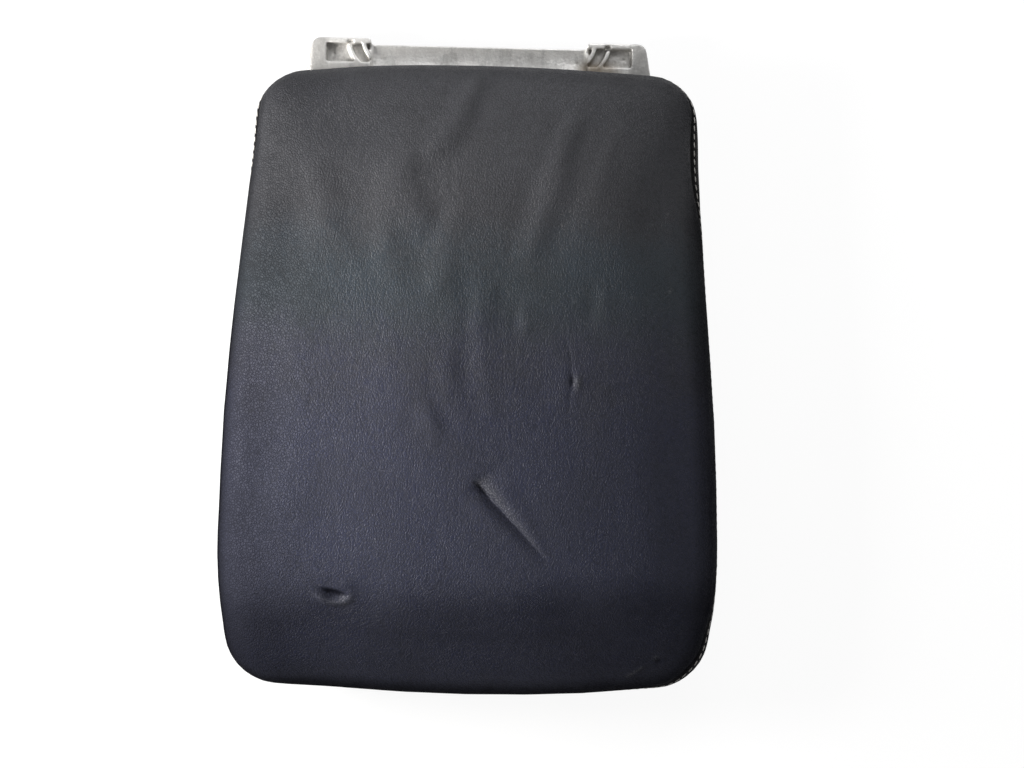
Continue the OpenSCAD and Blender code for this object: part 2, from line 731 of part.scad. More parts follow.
// Rubber buffer, pushed into the lower cover
module buffer(side, p) {
    neck = cover_z + cover_t;
    color([0.08, 0.08, 0.08]) translate([side * p.x, p.y, 0]) rotate_extrude() polygon([
        [0, 0], [buffer_r - 1.2, 0], [buffer_r - 0.3, 0.5], [buffer_r, 1.4], [buffer_r, cover_z],
        [buffer_stem_r, cover_z], [buffer_stem_r, neck + 0.1], [buffer_stem_r + 0.7, neck + 0.1],
        [buffer_stem_r + 0.5, neck + 1], [buffer_stem_r - 1, neck + 2.4], [0, neck + 2.4]]);
}

// Latch

// Cheeks that hold the pin, ears that are screwed to the casting, and the bezel of the mouth
module latch_housing() {
    in_x = hub_w / 2 + side_gap;
    color([0.16, 0.16, 0.17]) difference() {
        union() {
            both_sides() {
                side_profile(in_x, housing_half, [
                    [latch_y - 6, cover_z], [mouth_rear + 2.4, cover_z],
                    [mouth_rear + 2.4, deck_low], [latch_y - 3, deck_low], [latch_y - 6, deck_low - 3]]);
                box([housing_half - eps, latch_y - 2, deck_low - 2],
                    [latch_screw_x + 4.6, latch_y + 10, deck_low]);
            }
            box([-housing_half, mouth_rear, cover_z], [housing_half, mouth_rear + 2.4, deck_low]);
            difference() {
                box([-bezel_half, mouth_front - bezel_w, cover_z],
                    [bezel_half, mouth_rear + bezel_w, cover_z + cover_t]);
                box([-in_x, mouth_front, cover_z - cut], [in_x, mouth_rear, cover_z + cover_t + cut]);
            }
        }
        x_rod(latch_pin_r + press_gap, -housing_half - cut, housing_half + cut, latch_y, latch_z);
        both_sides() translate([latch_screw_x, latch_y + 4, deck_low - 2 - cut])
            cylinder(r = cover_screw_r + 0.2, h = 2 + 2 * cut);
    }
}

module latch_screws() {
    color([0.55, 0.55, 0.57]) both_sides() translate([latch_screw_x, latch_y + 4, deck_low - 2])
        difference() {
            union() {
                translate([0, 0, -1.8]) cylinder(r = 3.2, h = 1.8);
                translate([0, 0, -eps]) cylinder(r = cover_screw_r, h = 2 + deck_t);
            }
            translate([0, 0, -1.8]) cross_slot(-eps, 1);
        }
}

module latch_pin() {
    color([0.66, 0.66, 0.68])
        x_rod(latch_pin_r, -housing_half, housing_half, latch_y, latch_z);
}

// Lever: paddle under the pad's front edge, split hub on the pin, and hook
module latch_lever() {
    gap_half = (coils + 1) * (wire + 0.1) / 2 + 0.4;
    tip = front_y + paddle_in;
    color([0.18, 0.18, 0.19]) difference() {
        union() {
            x_rod(hub_r, -hub_w / 2, hub_w / 2, latch_y, latch_z);
            side_profile(-hub_w / 2, hub_w / 2, [
                [latch_y - 12, latch_z - paddle_t], [latch_y - 4.5, latch_z - 4.6],
                [latch_y - 3.6, latch_z - hook_len], [latch_y + nose_reach - 2, latch_z - hook_len],
                [latch_y + nose_reach, latch_z - hook_len + 2.6],
                [latch_y + nose_reach, latch_z - hook_len + 3.4],
                [latch_y + 1, latch_z - hook_len + 3.4], [latch_y + 2.6, latch_z - 2],
                [latch_y, latch_z + hub_r - 1], [latch_y - 4, latch_z + 1], [latch_y - 12, latch_z]]);
            side_profile(-paddle_w / 2, paddle_w / 2, [
                [tip, latch_z - paddle_t - 1.6], [tip + 2, latch_z - paddle_t - 1.6],
                [tip + 3.4, latch_z - paddle_t], [latch_y - 11.4, latch_z - paddle_t],
                [latch_y - 11.4, latch_z], [tip + 1.6, latch_z], [tip, latch_z - 1.4]]);
        }
        x_rod(latch_pin_r + run_gap, -hub_w, hub_w, latch_y, latch_z);
        // gap in the hub for the spring
        x_rod(hub_r + 0.3, -gap_half, gap_half, latch_y, latch_z);
        box([-gap_half, latch_y, latch_z - 2.4], [gap_half, latch_y + 12, latch_z + 8]);
        box([-gap_half, latch_y - 9, latch_z - 0.2], [gap_half, latch_y, latch_z + 8]);
    }
}

spring_r = latch_pin_r + 0.35 + wire / 2;
spring_pitch = wire + 0.1;
spring_low = -coils * spring_pitch / 2;
steps = 12;

// Path of the torsion spring: a leg on the lever's arm, the coils, and a leg to the rear wall
spring_path = concat(
    [[spring_low, -8.4, spring_r - 2.1]],
    [[spring_low, -4, spring_r - 0.6]],
    [for (k = [0:coils * steps + 3]) let (a = 90 + 360 * k / steps)
        [spring_low + spring_pitch * k / steps, spring_r * cos(a), spring_r * sin(a)]],
    [[-spring_low + spring_pitch * 3 / steps, -spring_r - 0.2, -0.4]]);

// Tube of a few sides along a path
module tube(path, r, sides) {
    n = len(path);
    function dir(i) = unit(path[min(i + 1, n - 1)] - path[max(i - 1, 0)]);
    rings = [for (i = [0:n - 1]) let (d = dir(i), u = unit(cross(d, [1, 0.13, 0.07])), v = cross(d, u))
        [for (k = [0:sides - 1]) path[i] + r * (cos(360 * k / sides) * u + sin(360 * k / sides) * v)]];
    loft(rings);
}

module latch_spring() {
    color([0.6, 0.6, 0.62]) translate([0, latch_y, latch_z]) tube(spring_path, wire / 2, 8);
}

hinge_base();
bush(-1);  // bush_left
bush(1);  // bush_right
spring_washer(-1);  // spring_washer_left
spring_washer(1);  // spring_washer_right
hinge_pin(-1);  // hinge_pin_left
hinge_pin(1);  // hinge_pin_right
cast_frame();
pad_carrier();
foam_pad();
leather_top();
leather_band();
carrier_screws();
lower_cover();
cover_screws();
buffer(-1, buffer_places[0]);  // buffer_front_left
buffer(1, buffer_places[0]);  // buffer_front_right
buffer(-1, buffer_places[1]);  // buffer_rear_left
buffer(1, buffer_places[1]);  // buffer_rear_right
latch_housing();
latch_screws();
latch_pin();
latch_spring();
latch_lever();
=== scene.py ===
"""Car armrest: the padded lid of a centre console, dressed for the photograph's view.

Metres throughout, in the CAD model's frame: X is the width, Y runs to the hinge and Z is up.
"""

import json
import math

import bmesh
import bpy
import numpy as np
from bpy.props import FloatProperty, FloatVectorProperty, IntProperty, PointerProperty
from mathutils import Matrix, Vector
from mathutils.bvhtree import BVHTree
from mathutils.geometry import convex_hull_2d


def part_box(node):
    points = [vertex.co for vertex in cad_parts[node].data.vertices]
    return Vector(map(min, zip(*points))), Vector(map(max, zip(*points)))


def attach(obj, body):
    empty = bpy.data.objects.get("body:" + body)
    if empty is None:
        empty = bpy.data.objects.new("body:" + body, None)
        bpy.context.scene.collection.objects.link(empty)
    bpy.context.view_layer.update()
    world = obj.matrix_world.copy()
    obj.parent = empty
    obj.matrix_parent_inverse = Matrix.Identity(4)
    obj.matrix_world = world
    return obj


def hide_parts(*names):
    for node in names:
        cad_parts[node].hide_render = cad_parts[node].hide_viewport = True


bl_info = {
    "name": "Car armrest",
    "version": (1, 0, 0),
    "blender": (4, 5, 0),
    "location": "View3D > Sidebar > Armrest",
    "description": "Leather cover, casting and finishes of a car's centre console lid",
    "category": "Object",
}

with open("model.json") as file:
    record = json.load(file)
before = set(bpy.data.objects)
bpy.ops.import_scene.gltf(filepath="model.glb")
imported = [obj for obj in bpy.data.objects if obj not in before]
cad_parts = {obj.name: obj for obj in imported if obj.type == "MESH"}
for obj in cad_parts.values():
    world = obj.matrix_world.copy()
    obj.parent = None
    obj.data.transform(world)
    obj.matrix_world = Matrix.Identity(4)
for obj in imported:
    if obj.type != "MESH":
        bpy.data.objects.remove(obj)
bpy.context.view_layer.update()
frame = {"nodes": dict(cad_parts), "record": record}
MM = 0.001
# Two vertices nearer than this are one
WELD = 1e-6
# Height of the pad's underside and of the seam
PAD_Z, SEAM_Z = (corner.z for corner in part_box("leather_band"))


def colour(name, about, value):
    return FloatVectorProperty(
        name=name, description=about, subtype="COLOR", size=3, min=0, max=1, default=value)


def length(name, about, value, low=0.0, high=10.0):
    return FloatProperty(
        name=name, description=about, default=value, min=low, max=high,
        unit="LENGTH", subtype="DISTANCE", precision=5)


class PadSettings(bpy.types.PropertyGroup):
    """Leather cover of the pad"""

    remesh: length("Remesh", "Voxel size of the cover before it is inflated", 4.5 * MM, 0.002, 0.01)
    shrink: length("Shrink", "How far the cover starts inside its shape", 1.5 * MM, 0.0, 0.004)
    side_cap: length("Side swell", "Most that the sides may swell", 0.5 * MM, 0.0, 0.003)
    top_cap: length("Top swell", "Most that the top may swell", 3.0 * MM, 0.0, 0.008)
    leather: length("Leather", "Thickness of the leather with its backing", 1.4 * MM, 0.0005, 0.003)
    groove: length("Seam groove", "Depth of the groove along the seam", 1.1 * MM, 0.0, 0.002)
    fold: length("Fold", "Width of leather folded under the pad", 9.0 * MM, 0.003, 0.01)
    rear_colour: colour("Rear colour", "Leather towards the hinge", (0.030, 0.031, 0.039))
    # Darker than the rear colour: painted shade towards the front
    front_colour: colour("Front colour", "Leather towards the front", (0.0185, 0.0215, 0.049))
    band_colour: colour("Band colour", "Leather of the side band", (0.009, 0.0085, 0.0085))
    # Also the colour of the painted highlights on the marks
    wear_and_highlight_colour: colour("Worn colour", "Leather where it is rubbed", (0.13, 0.13, 0.14))
    grain: length("Grain", "Width of the grain's cells", 1.3 * MM, 0.0004, 0.003)


class ThreadSettings(bpy.types.PropertyGroup):
    """Stitches along the seam"""

    pitch: length("Pitch", "From one stitch to the next", 4.2 * MM, 0.003, 0.006)
    stitch: length("Stitch", "Length of each stitch", 3.0 * MM, 0.002, 0.005)
    thick: length("Thickness", "Thickness of the thread", 0.72 * MM, 0.0003, 0.0012)
    below: length("Below the seam", "Distance of the stitches below the seam", 1.7 * MM, 0.001, 0.004)
    slant: FloatProperty(
        name="Slant", description="Turn of each stitch against the seam", subtype="ANGLE",
        default=math.radians(7), min=0, max=math.radians(30))
    thread: colour("Thread", "Colour of the thread", (0.72, 0.69, 0.65))


class CastingSettings(bpy.types.PropertyGroup):
    """Die-cast frame"""

    voxel: length("Voxel", "Voxel size of the hinge end", 0.55 * MM, 0.0003, 0.002)
    smooth: IntProperty(
        name="Smoothing", description="Passes that round the hinge end's edges", default=3, min=0, max=10)
    cut_y: length("Joint", "Where the hinge end's fine mesh starts", 0.139, 0.1, 0.15)
    metal: colour("Metal", "Bare aluminium", (0.76, 0.74, 0.715))
    # Colour towards which the concave corners are darkened
    corner_colour: colour("Dirt", "Grime in the corners", (0.10, 0.09, 0.08))
    stain: colour("Stain", "Brown stain beside the pad", (0.27, 0.21, 0.14))


class StageSettings(bpy.types.PropertyGroup):
    """Camera, lamps and floor"""

    camera_x: length("Camera X", "Camera's place across", 0.0206, -1, 1)
    camera_y: length("Camera Y", "Camera's place along", -0.0090, -1, 1)
    camera_z: length("Camera Z", "Camera's height", 1.034, 0.3, 3)
    lens: FloatProperty(
        name="Lens", description="Focal length in millimetres on a 36 mm sensor",
        default=70.31, min=20, max=200)
    roll: FloatProperty(
        name="Roll", description="Turn of the camera about its view", subtype="ANGLE",
        default=math.radians(1.35))
    key_power: FloatProperty(
        name="Key", description="Power of the large lamp on the left", default=4.8, min=0)
    fill_power: FloatProperty(
        name="Fill", description="Power of the lamp behind", default=1.5, min=0)
    ambient: FloatProperty(
        name="Ambient", description="Light from all round", default=0.18, min=0, max=1)
    floor_glow: FloatProperty(
        name="Floor white", description="White that the floor shows besides its own light",
        default=0.92, min=0, max=1)


# Mesh helpers


def add_object(name, data):
    """A new object in the scene."""
    made = bpy.data.objects.new(name, data)
    bpy.context.scene.collection.objects.link(made)
    return made


def mesh_object(name, bm, *materials):
    """A new object with the bmesh's faces, which uses the bmesh up."""
    mesh = bpy.data.meshes.new(name)
    bm.to_mesh(mesh)
    bm.free()
    for material in materials:
        mesh.materials.append(material)
    return add_object(name, mesh)


def add_piece(name, bm, body, material, smooth=True):
    """A finished mesh object at the origin, which rides on a body."""
    piece = mesh_object(name, bm, material)
    if smooth:
        piece.data.shade_smooth()
    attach(piece, body)
    return piece


def discard(work):
    """Deletes a work object and its mesh."""
    mesh = work.data
    bpy.data.objects.remove(work)
    bpy.data.meshes.remove(mesh)


def merged_copy(*nodes):
    """The CAD nodes' triangles in one bmesh, with their doubles merged."""
    bm = bmesh.new()
    for name in nodes:
        bm.from_mesh(frame["nodes"][name].data)
    bmesh.ops.remove_doubles(bm, verts=bm.verts, dist=WELD)
    bmesh.ops.recalc_face_normals(bm, faces=bm.faces)
    return bm


def with_modifier(bm, kind, **settings):
    """The bmesh after one modifier has been run on it and applied."""
    work = mesh_object("work", bm)
    modifier = work.modifiers.new("work", kind)
    for key, value in settings.items():
        setattr(modifier, key, value)
    bpy.context.view_layer.update()
    done = work.evaluated_get(bpy.context.evaluated_depsgraph_get())
    bm = bmesh.new()
    bm.from_mesh(done.to_mesh())
    done.to_mesh_clear()
    discard(work)
    return bm


def edges_of(found):
    return [item for item in found if isinstance(item, bmesh.types.BMEdge)]


def cut(bm, axis, spot, near=WELD, **sides):
    """Cuts the mesh where the axis, 1 for Y or 2 for Z, has a value, and returns the cut's edges."""
    normal = [float(k == axis) for k in range(3)]
    made = bmesh.ops.bisect_plane(
        bm, geom=[*bm.verts, *bm.edges, *bm.faces], dist=near,
        plane_co=[spot * n for n in normal], plane_no=normal, **sides)
    return edges_of(made["geom_cut"])


def coordinates(bm):
    return np.array([v.co for v in bm.verts], float).reshape(-1, 3)


def place(bm, points):
    for vert, point in zip(bm.verts, points.tolist()):
        vert.co = point
    bm.normal_update()


def add_layers(bm, **layers):
    """Stores each layer's values on the vertices, as an attribute of its name."""
    for name, values in layers.items():
        layer = bm.verts.layers.float.new(name)
        for vert, value in zip(bm.verts, values.tolist()):
            vert[layer] = value


def step(value, low, high):
    """0 up to the low value, 1 from the high one on, and smooth between them."""
    t = np.clip((value - low) / (high - low), 0, 1)
    return t * t * (3 - 2 * t)


def bell(value, width):
    """1 at 0, with a soft fall on both sides."""
    return np.exp(-((value / width) ** 2))


# Outline of the pad, seen from above


def pad_outline():
    """The pad's outline as points in order, counter-clockwise."""
    points = [Vector((v.co.x, v.co.y)) for v in frame["nodes"]["leather_band"].data.vertices]
    ring = np.array([points[i] for i in convex_hull_2d(points)], float)
    apart = np.linalg.norm(np.roll(ring, -1, axis=0) - ring, axis=1)
    return ring[apart > WELD]


OUTLINE = pad_outline()


def to_outline(points):
    """(distance inside the outline, inward normal, place along the outline) of points."""
    x, y = points[:, 0], points[:, 1]
    edge = np.roll(OUTLINE, -1, axis=0) - OUTLINE
    long = np.hypot(edge[:, 0], edge[:, 1])
    inward = np.stack([-edge[:, 1], edge[:, 0]], 1) / long[:, None]
    sums = np.concatenate([[0], np.cumsum(long)[:-1]])
    best = np.full(len(x), np.inf)
    normal = np.zeros((len(x), 2))
    along = np.zeros(len(x))
    for (cx, cy), (ex, ey), size, before, way in zip(OUTLINE, edge, long, sums, inward):
        dx, dy = x - cx, y - cy
        t = np.clip((dx * ex + dy * ey) / size ** 2, 0, 1)
        far = np.hypot(dx - t * ex, dy - t * ey)
        near = far < best
        best = np.where(near, far, best)
        normal[near] = way
        along = np.where(near, before + t * size, along)
    return best, normal, along


# How far the visible seam runs below the solids' one, and where it rises: x, y, spread along the
# edge and rise, all in mm
SEAM_DROP = 1.0
SEAM_RISES = ((110, 105, 36, 9.9), (117, -140, 29, 7.9), (-109, 115, 22, 6.3))


def seam_height(points):
    high = np.full(len(points), SEAM_Z - SEAM_DROP * MM)
    for x, y, spread, rise in SEAM_RISES:
        far = np.hypot(points[:, 0] / MM - x, points[:, 1] / MM - y)
        high = high + rise * MM * np.exp(-((far / spread) ** 3))
    return high


# Wrinkles and marks of the top panel, all in millimetres

# Flanks of the soft folds: points from the rear to the front, half width, height and the share
# of the length that fades at each end. A height above 0 falls away to the right, one below 0 rises.
FOLDS = (
    (((9, 148), (4, 139), (-3.5, 123), (-10, 109), (-18, 102), (-25, 97)), 4.8, 0.60, 0.12),
    (((-22, 106), (-27.5, 99), (-28, 91), (-25.5, 82), (-21, 72), (-18.5, 65)), 5.5, 0.66, 0.2),
    (((1, 147), (-3, 140), (-9.5, 129), (-14.5, 120), (-20, 112), (-29, 106)), 4.5, -0.48, 0.2),
    (((-21, 136), (-25, 126), (-29, 118)), 3.6, -0.18, 0.45),
    (((52, 140), (46.5, 130), (43.7, 122), (39.5, 113), (36.8, 102), (33.5, 92), (31, 82), (28.8, 71),
      (25.5, 62), (22.6, 54), (22.5, 38)), 4.2, -0.40, 0.2),
    (((57, 134), (54, 121), (48.7, 109), (46, 97), (45.4, 88), (43.5, 81), (39.5, 72), (36.7, 63),
      (34.5, 53), (33, 44)), 4.4, 0.50, 0.25),
    (((72, 128), (65, 113), (62, 103), (59.5, 95), (58.2, 84), (58.5, 72)), 3.6, -0.30, 0.3),
    (((70, 114), (67.3, 104), (66.6, 95), (66, 84)), 4.0, 0.14, 0.4),
    (((-73, 106), (-71, 91), (-67.8, 82), (-66, 71), (-61.5, 61), (-58, 53)), 5.5, 0.36, 0.3),
    (((-46, 112), (-45.6, 94), (-46, 78), (-47, 65), (-46.7, 53), (-44, 42)), 6.5, -0.40, 0.3),
    (((-36, 70), (-34.5, 55), (-33.2, 43), (-35, 31)), 5.5, 0.38, 0.35),
    (((-6, 84), (-13, 68), (-17, 55), (-18.5, 44), (-22.5, 30)), 4.5, -0.36, 0.3),
    (((-7.5, 52), (-9.5, 39), (-11.5, 28)), 4.5, 0.28, 0.4),
    (((2.5, 48), (2, 36), (1.6, 26), (1.6, 16), (3.5, 9), (2.6, 3), (3.4, -6), (5.6, -12), (8.2, -21)),
     3.6, -0.34, 0.25),
    (((12.4, 44), (12.6, 33), (12, 24), (12.3, 13)), 4.2, 0.36, 0.4),
    (((24.5, 33), (24.6, 24), (24, 13)), 2.8, -0.55, 0.45),
    (((33.5, 30), (35.4, 23), (35, 14)), 4.0, 0.20, 0.45),
    (((61.5, 46), (62.3, 33), (61.8, 23), (61.2, 13)), 3.6, -0.42, 0.4),
    (((76, 48), (75.5, 42), (74.5, 34)), 4.0, 0.14, 0.5),
    (((-6, 10), (-6.4, 0), (-4.8, -12)), 4.0, 0.36, 0.4),
    (((-16.5, 2), (-14.7, -7), (-12.7, -13), (-9.6, -22)), 4.0, -0.28, 0.4),
    (((-3.5, -15), (0.4, -24), (3.2, -32)), 3.4, 0.20, 0.45),
    (((-20, -16), (-16.5, -23), (-12.5, -30), (-8.5, -37)), 3.4, 0.46, 0.35),
    (((-25.5, -20), (-24, -28), (-21, -36)), 4.2, -0.36, 0.4),
    (((12.5, -9), (14, -18), (15.5, -29)), 4.0, 0.22, 0.4),
    (((42, 6), (42.4, -8), (40, -24)), 5.5, -0.24, 0.4),
    (((-64.8, -20), (-61.6, -22.8)), 0.9, 0.06, 0.3),
)

CREASE = ((5.2, -59.6), (20, -74.5), (39.5, -95.5))
CREASE_DEPTH, CREASE_BANK = 2.0, 0.85
PINCH = ((44.4, 19), (47.4, 11), (49.6, 4), (50.0, -4), (49.6, -11), (49.0, -20), (48.0, -32))
PINCH_DEPTH, PINCH_WIDTH = 0.28, 1.4
# The dent's place, the direction of its slit, its depth, and its rim's half axes and height
DENT, DENT_WAY = (-65.2, -112.0), (0.97, -0.24)
DENT_DEPTH, RIM_LONG, RIM_WIDE, RIM_HEIGHT = 2.3, 9.0, 5.6, 1.25
SCRATCH, SCRATCH_HEIGHT = ((79.6, -152.2), (87.0, -147.2)), 0.3
# Small pits and bumps: place, half width across, half length along and height
SPECKS = (
    (50.4, -7.0, 1.1, 2.8, -0.8), (53.0, -7.8, 1.9, 3.3, 0.8), (93.4, -142.2, 1.6, 1.5, 0.45),
    (94.6, -143.8, 1.5, 1.5, -0.75), (97.4, 38.2, 0.9, 0.9, 0.22), (-108, 8, 1.2, 1.2, -0.2),
)

# Places that need a finer mesh: points, reach and how many times their faces are divided
FINE_PLACES = (
    (CREASE, 12, 1), (CREASE, 8, 2), (CREASE, 3, 3),
    (((-72, -112), (-60, -115)), 14, 1), (((-71, -112), (-59, -115)), 10, 2),
    (((-70, -111), (-60, -114)), 4, 3),
    (PINCH, 6, 1), (PINCH, 3.5, 2), (((50.6, -3), (51.2, -11)), 5, 2),
    (((80, -152), (95, -142)), 6, 1), (((92, -143), (95, -143)), 4, 2),
    (((-66, -21), (-60, -24)), 4, 1),
)
# Side of the cover's faces before they are divided
FACE_SIDE = 2.3


def to_line(x, y, points):
    """(distance, signed distance to the right, share of the length) from a line of points."""
    long = [math.dist(a, b) for a, b in zip(points, points[1:])]
    best = np.full(len(x), np.inf)
    side = np.zeros(len(x))
    share = np.zeros(len(x))
    done = 0.0
    for a, b, size in zip(points, points[1:], long):
        ux, uy = (b[0] - a[0]) / size, (b[1] - a[1]) / size
        dx, dy = x - a[0], y - a[1]
        t = np.clip(dx * ux + dy * uy, 0, size)
        far = np.hypot(dx - t * ux, dy - t * uy)
        near = far < best
        best = np.where(near, far, best)
        side = np.where(near, np.where(dx * uy - dy * ux >= 0, far, -far), side)
        share = np.where(near, (done + t) / sum(long), share)
        done += size
    return best, side, share


def spline(points, count=24):
    """Points on a smooth curve through the given ones."""
    p = np.array(points, float)
    if len(p) < 3:
        return [tuple(q) for q in p]
    p = np.vstack([2 * p[0] - p[1], p, 2 * p[-1] - p[-2]])
    out = []
    for a, b, c, d in zip(p, p[1:], p[2:], p[3:]):
        for t in np.arange(0, 1, (len(p) - 3) / count):
            out.append(tuple(0.5 * (2 * b + (c - a) * t + (2 * a - 5 * b + 4 * c - d) * t ** 2
                                    + (3 * b - a - 3 * c + d) * t ** 3)))
    return out + [tuple(p[-2])]


class Marks:
    """Height, wear with painted highlights, and painted shade of the marks at points of the top panel."""

    def __init__(self, x, y):
        self.x, self.y = x, y
        self.high, self.worn, self.painted_shade = np.zeros((3, len(x)))

    def wear(self, share):
        self.worn = np.maximum(self.worn, share)

    def paint_shade(self, share):
        self.painted_shade = np.maximum(self.painted_shade, share)


def add_folds(marks):
    for points, width, size, fade in FOLDS:
        far, side, share = to_line(marks.x, marks.y, spline(points))
        ends = step(share, 0, fade) * step(1 - share, 0, fade)
        wide = width * (1 + 0.25 * np.sin(5 * share + width))
        marks.high += size * ends * side / wide * np.exp(0.5 - 0.5 * (far / wide) ** 2)


def add_crease(marks):
    """A sharp valley between two low banks, widest and deepest where it starts."""
    far, side, share = to_line(marks.x, marks.y, spline(CREASE))
    left = side < 0
    dx, dy = marks.x - CREASE[0][0], marks.y - CREASE[0][1]
    behind = np.maximum(0, (dy - dx) * 0.707)
    fade = (1 - share) ** 0.7
    wide = np.where(left, 1.3 + 4.4 * fade ** 1.6, 1.7 + 2.9 * fade)
    fade *= bell(behind, 3.4) * np.where(left, 1, 0.4 + 0.6 * step(share, 0, 0.2))
    valley = np.where(left, far / wide, (far / (1.15 * wide)) ** 1.35)
    marks.high -= CREASE_DEPTH * fade * np.exp(-valley)
    marks.high += CREASE_BANK * fade * step(share, 0, 0.25) * bell(far - 1.7 * wide, 1.1 * wide)
    # painted highlight on the lit bank
    marks.wear(0.75 * fade * left * bell(far - 0.5 * wide, 0.6 * wide))
    # painted shade on the bank that faces away from the light
    marks.paint_shade(0.5 * fade * (side > 0) * bell(far - 1.4, 2.4))
    start = np.hypot((dx - dy - 2.2) / 4.4, (dx + dy + 1.0) / 2.2)
    # painted shade where the crease starts
    marks.paint_shade(0.8 * bell(start, 1.0))


def add_pinch(marks):
    far, _, share = to_line(marks.x, marks.y, spline(PINCH))
    ends = step(share, 0, 0.3) * step(1 - share, 0, 0.4)
    marks.high -= PINCH_DEPTH * ends * np.exp(-(far / PINCH_WIDTH) ** 1.4)


def add_dent(marks):
    """A slit with a steep rear wall, a floor that rises to the front, and a rim pushed up there."""
    dx, dy = marks.x - DENT[0], marks.y - DENT[1]
    along = dx * DENT_WAY[0] + dy * DENT_WAY[1]
    ahead = dx * DENT_WAY[1] - dy * DENT_WAY[0]
    ends = np.exp(-np.abs((along - 1.2) / 6.2) ** 2.4)
    floor = np.exp(-(np.maximum(ahead - 0.4, 0) / 3.2) ** 1.5)
    marks.high -= DENT_DEPTH * ends * step(ahead, -1.3, 0.7) * floor
    slit = bell(ahead - 0.9 + 0.05 * along, 1.5 * np.exp(-((along - 0.5) / 6.5) ** 2) + 0.1)
    # painted shade in the slit
    marks.paint_shade(0.95 * np.exp(-np.abs((along - 0.8) / 6.0) ** 4) * slit)
    turn = np.arctan2(ahead / RIM_WIDE, along / RIM_LONG)
    ring = bell(np.hypot(along / RIM_LONG, ahead / RIM_WIDE) - 1, 0.28)
    ring *= np.exp(-((turn - 1.15) / 1.35) ** 4)
    marks.high += RIM_HEIGHT * ring
    # painted highlight on the rim
    marks.wear(0.45 * ring)
    marks.high += 0.5 * bell(np.hypot(along - 5.5, (ahead + 5) * 1.3), 4.5)
    # painted shade beside the slit
    marks.paint_shade(0.5 * bell(np.hypot((along + 1.2) / 3.4, (ahead - 2.8) / 1.9), 1.0))
    # painted highlight beside the slit
    marks.wear(0.7 * bell(np.hypot((along - 6.6) / 1.2, ahead - 3.8), 2.8))


def add_specks(marks):
    """The pits and bumps, and the scratch."""
    for x, y, wide, tall, size in SPECKS:
        spot = bell(np.hypot((marks.x - x) / wide, (marks.y - y) / tall), 1.0)
        marks.high += size * spot
        # bumps get a painted highlight, pits painted shade
        if size > 0:
            marks.wear(0.8 * spot)
        else:
            marks.paint_shade(0.55 * spot)
    far = to_line(marks.x, marks.y, SCRATCH)[0]
    marks.high += SCRATCH_HEIGHT * bell(far, 0.8)
    marks.wear(bell(far, 0.6))


def relief(x, y):
    """All marks, and the shallow unevenness of a pad that has been leaned on."""
    marks = Marks(x, y)
    for add in (add_folds, add_crease, add_pinch, add_dent, add_specks):
        add(marks)
    marks.high += 0.30 * np.sin(x / 19 + 1.3 * np.sin(y / 41)) * np.sin(y / 33 + 0.8)
    marks.high += 0.14 * np.sin(x / 8.3 + y / 37 + 2) * np.sin(y / 21 + x / 52)
    return marks


# Cover. Heights and distances named here are in millimetres.

HELD_BELOW = 6
CLOTH_FRAMES = 20
CLOTH = {"vertex_group_mass": "held", "use_pressure": True, "uniform_pressure_force": 4,
         "quality": 5, "tension_stiffness": 40, "compression_stiffness": 40, "bending_stiffness": 4}
# The crown starts this far inside the outline and above the seam, and is smoothed before and after
CROWN_INSET, CROWN_HEIGHT = 17, 10
PASSES_BEFORE, PASSES_AFTER = 24, 10


def inflate(bm):
    """Lets Cloth blow the cover up from a slightly smaller start."""
    pad = bpy.context.scene.armrest_pad
    bm.normal_update()
    before = coordinates(bm)
    for vert in bm.verts:
        vert.co -= vert.normal * pad.shrink
    work = mesh_object("work", bm.copy())
    held = work.vertex_groups.new(name=CLOTH["vertex_group_mass"])
    top = PAD_Z + HELD_BELOW * MM
    held.add([v.index for v in work.data.vertices if v.co.z < top], 1.0, "REPLACE")
    cloth = work.modifiers.new("Cloth", "CLOTH")
    for key, value in CLOTH.items():
        setattr(cloth.settings, key, value)
    cloth.settings.effector_weights.gravity = 0
    cloth.point_cache.frame_start, cloth.point_cache.frame_end = 1, CLOTH_FRAMES
    for number in range(1, CLOTH_FRAMES + 1):
        bpy.context.scene.frame_set(number)
    done = work.evaluated_get(bpy.context.evaluated_depsgraph_get())
    move = np.array([v.co for v in done.data.vertices], float) - before
    bpy.context.scene.frame_set(1)
    discard(work)
    flat = np.hypot(move[:, 0], move[:, 1])
    move[:, :2] *= np.minimum(1, pad.side_cap / np.maximum(flat, 1e-9))[:, None]
    move[:, 2] = np.clip(move[:, 2], -pad.side_cap, pad.top_cap)
    place(bm, before + move)


def smooth_top(bm, passes):
    """Smooths the crown, and leaves the sides as they are."""
    points = coordinates(bm)
    crown = [v for v, inside, z in zip(bm.verts, to_outline(points)[0], points[:, 2])
             if inside > CROWN_INSET * MM and z > SEAM_Z + CROWN_HEIGHT * MM]
    for _ in range(passes):
        bmesh.ops.smooth_vert(bm, verts=crown, factor=0.5, use_axis_z=True)


def finer(bm):
    """Divides the faces near the marks."""
    for points, reach, level in FINE_PLACES:
        mid = np.array([f.calc_center_median() for f in bm.faces]) / MM
        size = np.array([f.calc_area() for f in bm.faces]) / MM ** 2
        near = to_line(mid[:, 0], mid[:, 1], spline(points))[0] < reach
        top = mid[:, 2] > SEAM_Z / MM + 8
        large = size > (FACE_SIDE / 2 ** (level - 1)) ** 2 * 0.45
        edges = set()
        for face, take in zip(bm.faces, near & top & large):
            if take:
                edges.update(face.edges)
        bmesh.ops.subdivide_edges(bm, edges=list(edges), cuts=1, use_grid_fill=True, smooth=0)
    bmesh.ops.triangulate(bm, faces=[f for f in bm.faces if len(f.verts) > 4])


